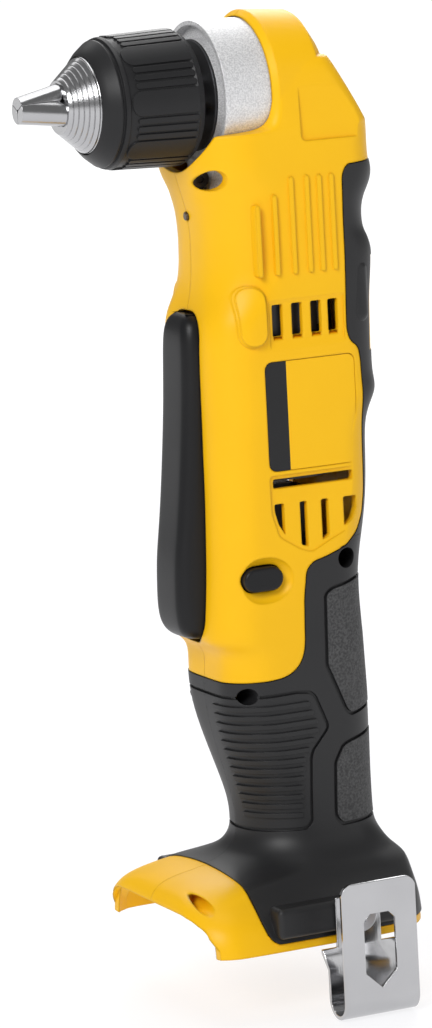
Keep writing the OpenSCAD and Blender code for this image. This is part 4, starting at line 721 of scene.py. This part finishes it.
def gripRibs(look):
    bars = []
    for k, end in enumerate(look["ribEnds"]):
        z, h = look["ribTop"] - look["ribPitch"] * k, look["ribHigh"] / 2
        outline = [(30, z - h), (end, z - h), (end, z + h), (30, z + h)]
        left, right = look["ribInner"]
        bars += [prism(outline, -40, left, rounding=h * 0.95),
                 prism(outline, right, 40, rounding=h * 0.95)]
    bars = tool(*bars)
    carve(bars, loft(rows, look["ribOut"]), "INTERSECT")
    return carve(bars, loft(rows, -0.6), "DIFFERENCE")


carve(black, gripRibs(grip), "UNION")
core = loft(rows, -grip["grooveDeep"] + body["proud"])
for outline in grip["outlines"]:
    line = carve(tool(prism(outline, rounding=0.9)),
                 tool(prism(outline, -beyond - 1, beyond + 1, 0.9, grip["groove"])))
    carve(black, carve(line, core, keep=True))
x0, x1, y0, y1, z0, z1 = grip["seat"]
carve(black, tool(bothSides(block(x0, x1, -y1, -y0, z0, z1, grip["seatRound"]))), "UNION")
x, z, radius = grip["insert"]
carve(black, tool(bothSides(rod("Y", (x, z), radius, -50, -30))))
sockets = tool(*[rod("Y", (x, z), radius + body["lining"] - 0.05, -beyond, body["screwDeep"] - 0.2, 40)
                 for k, (x, z, radius) in enumerate(body["screws"]) if k in body["lined"]])
carve(black, carve(sockets, loft(rows, -0.3), "INTERSECT"), "UNION")
carve(black, screwTool())
bpy.data.objects.remove(core)

spine = carve(copyOf(black, "spineGrip"), slab(grip["seam"] + grip["seamGap"], 40), "INTERSECT")
lower = carve(black, slab(-300, grip["seam"] - grip["seamGap"]), "INTERSECT")
dress(spine, "housing", "overmould", "gripBlack", "spine_grip")
dress(sidePart(lower, -1, "leftGrip"), "housing", "overmould", "gripBlack", "left_grip")
dress(sidePart(lower, 1, "rightGrip"), "housing", "overmould", "gripBlack", "right_grip")
bpy.data.objects.remove(lower)
for name, outline in zip(("upper", "lower"), grip["outlines"][1:]):
    pad = carve(loft(rows, grip["padOut"]), loft(rows, -0.4), "DIFFERENCE")
    carve(pad, tool(prism(outline, rounding=0.9, shrink=grip["groove"] * 1.1)), "INTERSECT")
    for side, word, node in ((-1, "left", "left_grip"), (1, "right", "right_grip")):
        dress(sidePart(pad, side, word + name.title() + "Pad"), "housing", "overmould", "padGreyAndSheen", node)
    bpy.data.objects.remove(pad)
print("grips and spine made")

# bare side plates

plate = carve(loft(rows, -0.02), loft(rows, -1.1), "DIFFERENCE")
carve(plate, tool(prism(vents["panel"], rounding=2.2, shrink=0.16)), "INTERSECT")
carve(plate, slab(-110, -60, beyond), "INTERSECT")
dress(sidePart(plate, -1, "leftPlate", 10), "housing", "side_plate", "plateYellow", "left_plate")
dress(sidePart(plate, 1, "rightPlate", 10), "housing", "side_plate", "plateYellow", "right_plate")
bpy.data.objects.remove(plate)

# trigger and direction button

trigger = {
    "back": 47.45,
    "rows": [  # height, front, half width
        (-59.7, 45.0, 4.6), (-61.0, 43.4, 6.9), (-64.0, 42.2, 8.6), (-70.0, 41.9, 9.2),
        (-83.5, 41.3, 9.2), (-97.4, 40.1, 9.2), (-111.2, 38.7, 9.2), (-121.4, 37.4, 9.2),
        (-127.9, 36.4, 9.2), (-136.2, 36.0, 9.2), (-141.8, 35.9, 9.2), (-145.9, 36.4, 9.1),
        (-148.5, 37.5, 8.3), (-150.2, 39.4, 6.8), (-150.7, 42.0, 5.4),
    ],
    "round": 4.2,
}


def paddleRow(z, x, half):
    back = trigger["back"]
    return z, x, back, half, min(trigger["round"], half * 0.6, (back - x) * 0.8), 0.5


paddle = loft([paddleRow(*row) for row in trigger["rows"]])
dress(paddle, "trigger", "control_plastic", "controlBlack", "trigger")
paddle.name = "triggerPaddle"

button = {
    "spot": (56.2, -133.2), "long": 6.0, "high": 3.4, "out": 21.9, "inner": 14.2,
    "rod": (59.46, -132.5, 2.0),
}


def pushButton(look):
    cap = prism(stadium(*look["spot"], look["long"], look["high"]), -look["out"], -look["inner"])
    rim = [edge for edge in cap.edges if all(vert.co.y < (-look["out"] + 0.01) * mm for vert in edge.verts)]
    bmesh.ops.bevel(cap, geom=rim, offset=0.9 * mm, segments=4, profile=0.5, affect="EDGES", material=-1)
    x, z, radius = look["rod"]
    bar = rod("Y", (x, z), radius, -look["inner"] - 0.5, look["inner"] + 0.5, 32)
    return carve(tool(bothSides(cap)), tool(bar), "UNION")


push = pushButton(button)
push.name = "directionButton"
dress(push, "direction", "control_plastic", "controlBlack", "direction_button")
print("trigger and button made")

# chuck

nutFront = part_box("chuck_nut")[0].x / mm - 0.2
sleeve = {
    "front": [(20.8, 14.7), (20.8, 13.5), (19.2, 13.5), (19.3, 13.9), (20.8, 15.5), (23.3, 17.4),
              (23.7, 17.4), (23.9, 17.15), (24.3, 17.15)],
    "base": [(24.5, 17.9), (25.2, 18.12), (25.6, 18.18), (25.9, 17.85), (27.0, 17.92), (45.2, 18.45),
             (45.9, 18.9), (46.4, 18.65), (48.0, 17.6)],
    "bore": [(48.0, 15.5), (nutFront, 15.5), (nutFront, 14.7)],
    "raised": [(25.9, 18.3), (26.6, 18.4), (43.5, 18.94), (46.0, 18.94), (46.0, 16.6), (25.9, 16.6)],
    "groups": 8, "turn": -1.5, "reach": (14, 26), "pad": (26.2, 54.0, 3.43, 3.0),
    "rib": (27.9, 45.7, 0.8, 0.75), "ribStep": 7.3,
}
nose = {
    "start": 12.0, "radius": 7.4, "slope": 0.84, "rings": 6, "pitch": 1.15, "line": (0.22, 0.2),
    "end": (20.9, 13.25), "shoulder": 1.7, "outer": 24.0,
}
recess = [(50.0, 15.5), (50.0, 19.2), (55.5, 19.2), (55.5, 15.5)]  # round the retainer


def chuckSleeve(look):
    piece = pieceFrom("chuckSleeve", turned(look["front"] + look["base"] + look["bore"]))
    bars = []
    for k in range(look["groups"]):
        turn = look["turn"] + 360 * k / look["groups"]
        middle = turn + 180 / look["groups"]
        places = [(turn, look["pad"])] + [(middle + j * look["ribStep"], look["rib"]) for j in (-1, 0, 1)]
        for angle, (x0, x1, half, radius) in places:
            outline = [(x0, -half), (x1, -half), (x1, half), (x0, half)]
            bar = prism(outline, *look["reach"], rounding=radius, steps=6)
            bmesh.ops.rotate(bar, verts=bar.verts, cent=(0, 0, 0),
                             matrix=Matrix.Rotation(radians(angle), 3, "X"))
            bars.append(bar)
    lumps = carve(pieceFrom("lumps", turned(look["raised"])), tool(*bars), "INTERSECT")
    return carve(piece, lumps, "UNION")


dress(chuckSleeve(sleeve), "sleeve", "sleeve_plastic", "sleeveBlack", "chuck_sleeve", angle=30)
def noseRings(look):  # leaves six rings on the front of the chuck
    wide, deep = look["line"]
    edge = [(look["start"] - 1.0, look["outer"]), (look["start"] - 1.0, look["radius"] - deep)]
    for k in range(look["rings"]):
        x, end = look["start"] + look["pitch"] * k, look["start"] + look["pitch"] * (k + 1) - wide
        low, high = (look["radius"] + look["slope"] * (place - look["start"]) for place in (x, end))
        edge += [(x, low - deep * (k > 0)), (x + 0.02, low), (end, high), (end + 0.02, high - deep)]
    x, radius = look["end"]
    edge += [(x - look["shoulder"], radius), (x, radius), (x, look["outer"])]
    return pieceFrom("noseRings", turned(edge))


chuckNose = carve(softened("chuck_body", "chuckNose", 0.2), noseRings(nose))
gearCase = carve(softened("gear_case", "gearCase", 0.5, 3), pieceFrom("recess", turned(recess)))
dress(chuckNose, "spindle", "chuck_steel", "chuckSteel", "chuck_body", angle=30)
for k in (1, 2, 3):
    jaw = f"jaw_{k}"
    dress(softened(jaw, f"jaw{k}", 0.12), jaw, "chuck_steel", "chuckSteel", jaw, angle=30)
dress(gearCase, "housing", "cast_alloy", "castAlloy", "gear_case", angle=30)
print("chuck made")

# small parts that keep their solid's shape

kept = {  # node: finish, and worn edge in mm
    # the work light's lens is dark as painted shade of the hollow behind it
    "hook_screw": ("machineSteel", 0.3), "work_light": ("lensPaintedShade", 0.3),
    # the screw heads and the retainer take the darkened steel as painted shade of their holes and recess
    "housing_screws": ("darkSteelAndShade", 0.15), "terminal_block": ("innerPlastic", 0.4),
    "battery_contacts": ("contactBrass", 0.1), "hook_inserts": ("contactBrass", 0.2),
    "bearing_retainer": ("darkSteelAndShade", 0.2), "chuck_back": ("darkSteelAndShade", 0.15),
    "spindle": ("machineSteel", 0.2),
}
slotOf = {part["node"]: part["material_slot"] for part in frame["record"]["subparts"]}
bodyOf = {node: name for name, group in frame["record"]["behaviour"]["bodies"].items() for node in group}
for node, (look, width) in kept.items():
    if node in frame["nodes"]:
        name = node.replace("_", " ").title().replace(" ", "")
        dress(softened(node, name, width), bodyOf[node], slotOf[node], look, node, angle=30)

hook = {"corner": 3.5, "worn": 0.25, "plate": 1.3, "cut": (-2.0, 2.6), "steps": 10}


def hookCorners(look):  # rounds the two free corners of the plate
    low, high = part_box("belt_hook")
    verts = frame["nodes"]["belt_hook"].data.vertices
    top = max(vert.co.z for vert in verts if vert.co.y < low.y + look["plate"] * mm) / mm
    radius = look["corner"]
    start, end = (low.y / mm + reach for reach in look["cut"])
    parts = []
    for x, side in ((low.x / mm, -1), (high.x / mm, 1)):
        outline = [(x + side, top + 1), (x + side, top - radius)]
        for k in range(look["steps"] + 1):
            a = radians(90 * k / look["steps"])
            outline.append((x - side * radius * (1 - cos(a)), top - radius * (1 - sin(a))))
        parts.append(prism(outline + [(x - side * radius, top + 1)], start, end))
    return tool(*parts)


beltHook = carve(softened("belt_hook", "beltHook", hook["worn"]), hookCorners(hook))
dress(beltHook, bodyOf["belt_hook"], slotOf["belt_hook"], "hookSteel", "belt_hook", angle=30)

inside = {
    "machineSteel": ["front_bearing", "rear_bearing", "pinion_bearing", "ring_gear", "mount_plate",
                     "motor_bearings", "trigger_pin", "bevel_gear", "chuck_nut", "planet_carrier",
                     "bevel_pinion",
                     "planet_1", "planet_2", "planet_3", "sun_gear", "rotor_shaft", "rotor_core"],
    "ferriteGrey": ["motor_magnets"], "innerPlastic": ["motor_cap", "switch_body", "switch_plunger"],
    # the motor can is darkened as painted shade inside the housing
    "carbonBlack": ["motor_brushes"], "darkSteelAndShade": ["chuck_screw", "motor_can"],
    "enamelCopper": ["rotor_windings", "commutator"], "fanPlastic": ["cooling_fan"],
}
for look, names in inside.items():
    for name in names:
        data = frame["nodes"][name].data
        data.materials.clear()
        data.materials.append(made[look])
print("small parts dressed")

# floor under the hook

low = min(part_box(node)[0].z for node in frame["nodes"])
ground = bmesh.new()
bmesh.ops.create_grid(ground, x_segments=1, y_segments=1, size=studio["floorSize"])
bmesh.ops.translate(ground, verts=ground.verts, vec=(0, 0, low - 0.0005))
floor = pieceFrom("floor", ground)
floor.data.materials.append(made["paleFloor"])
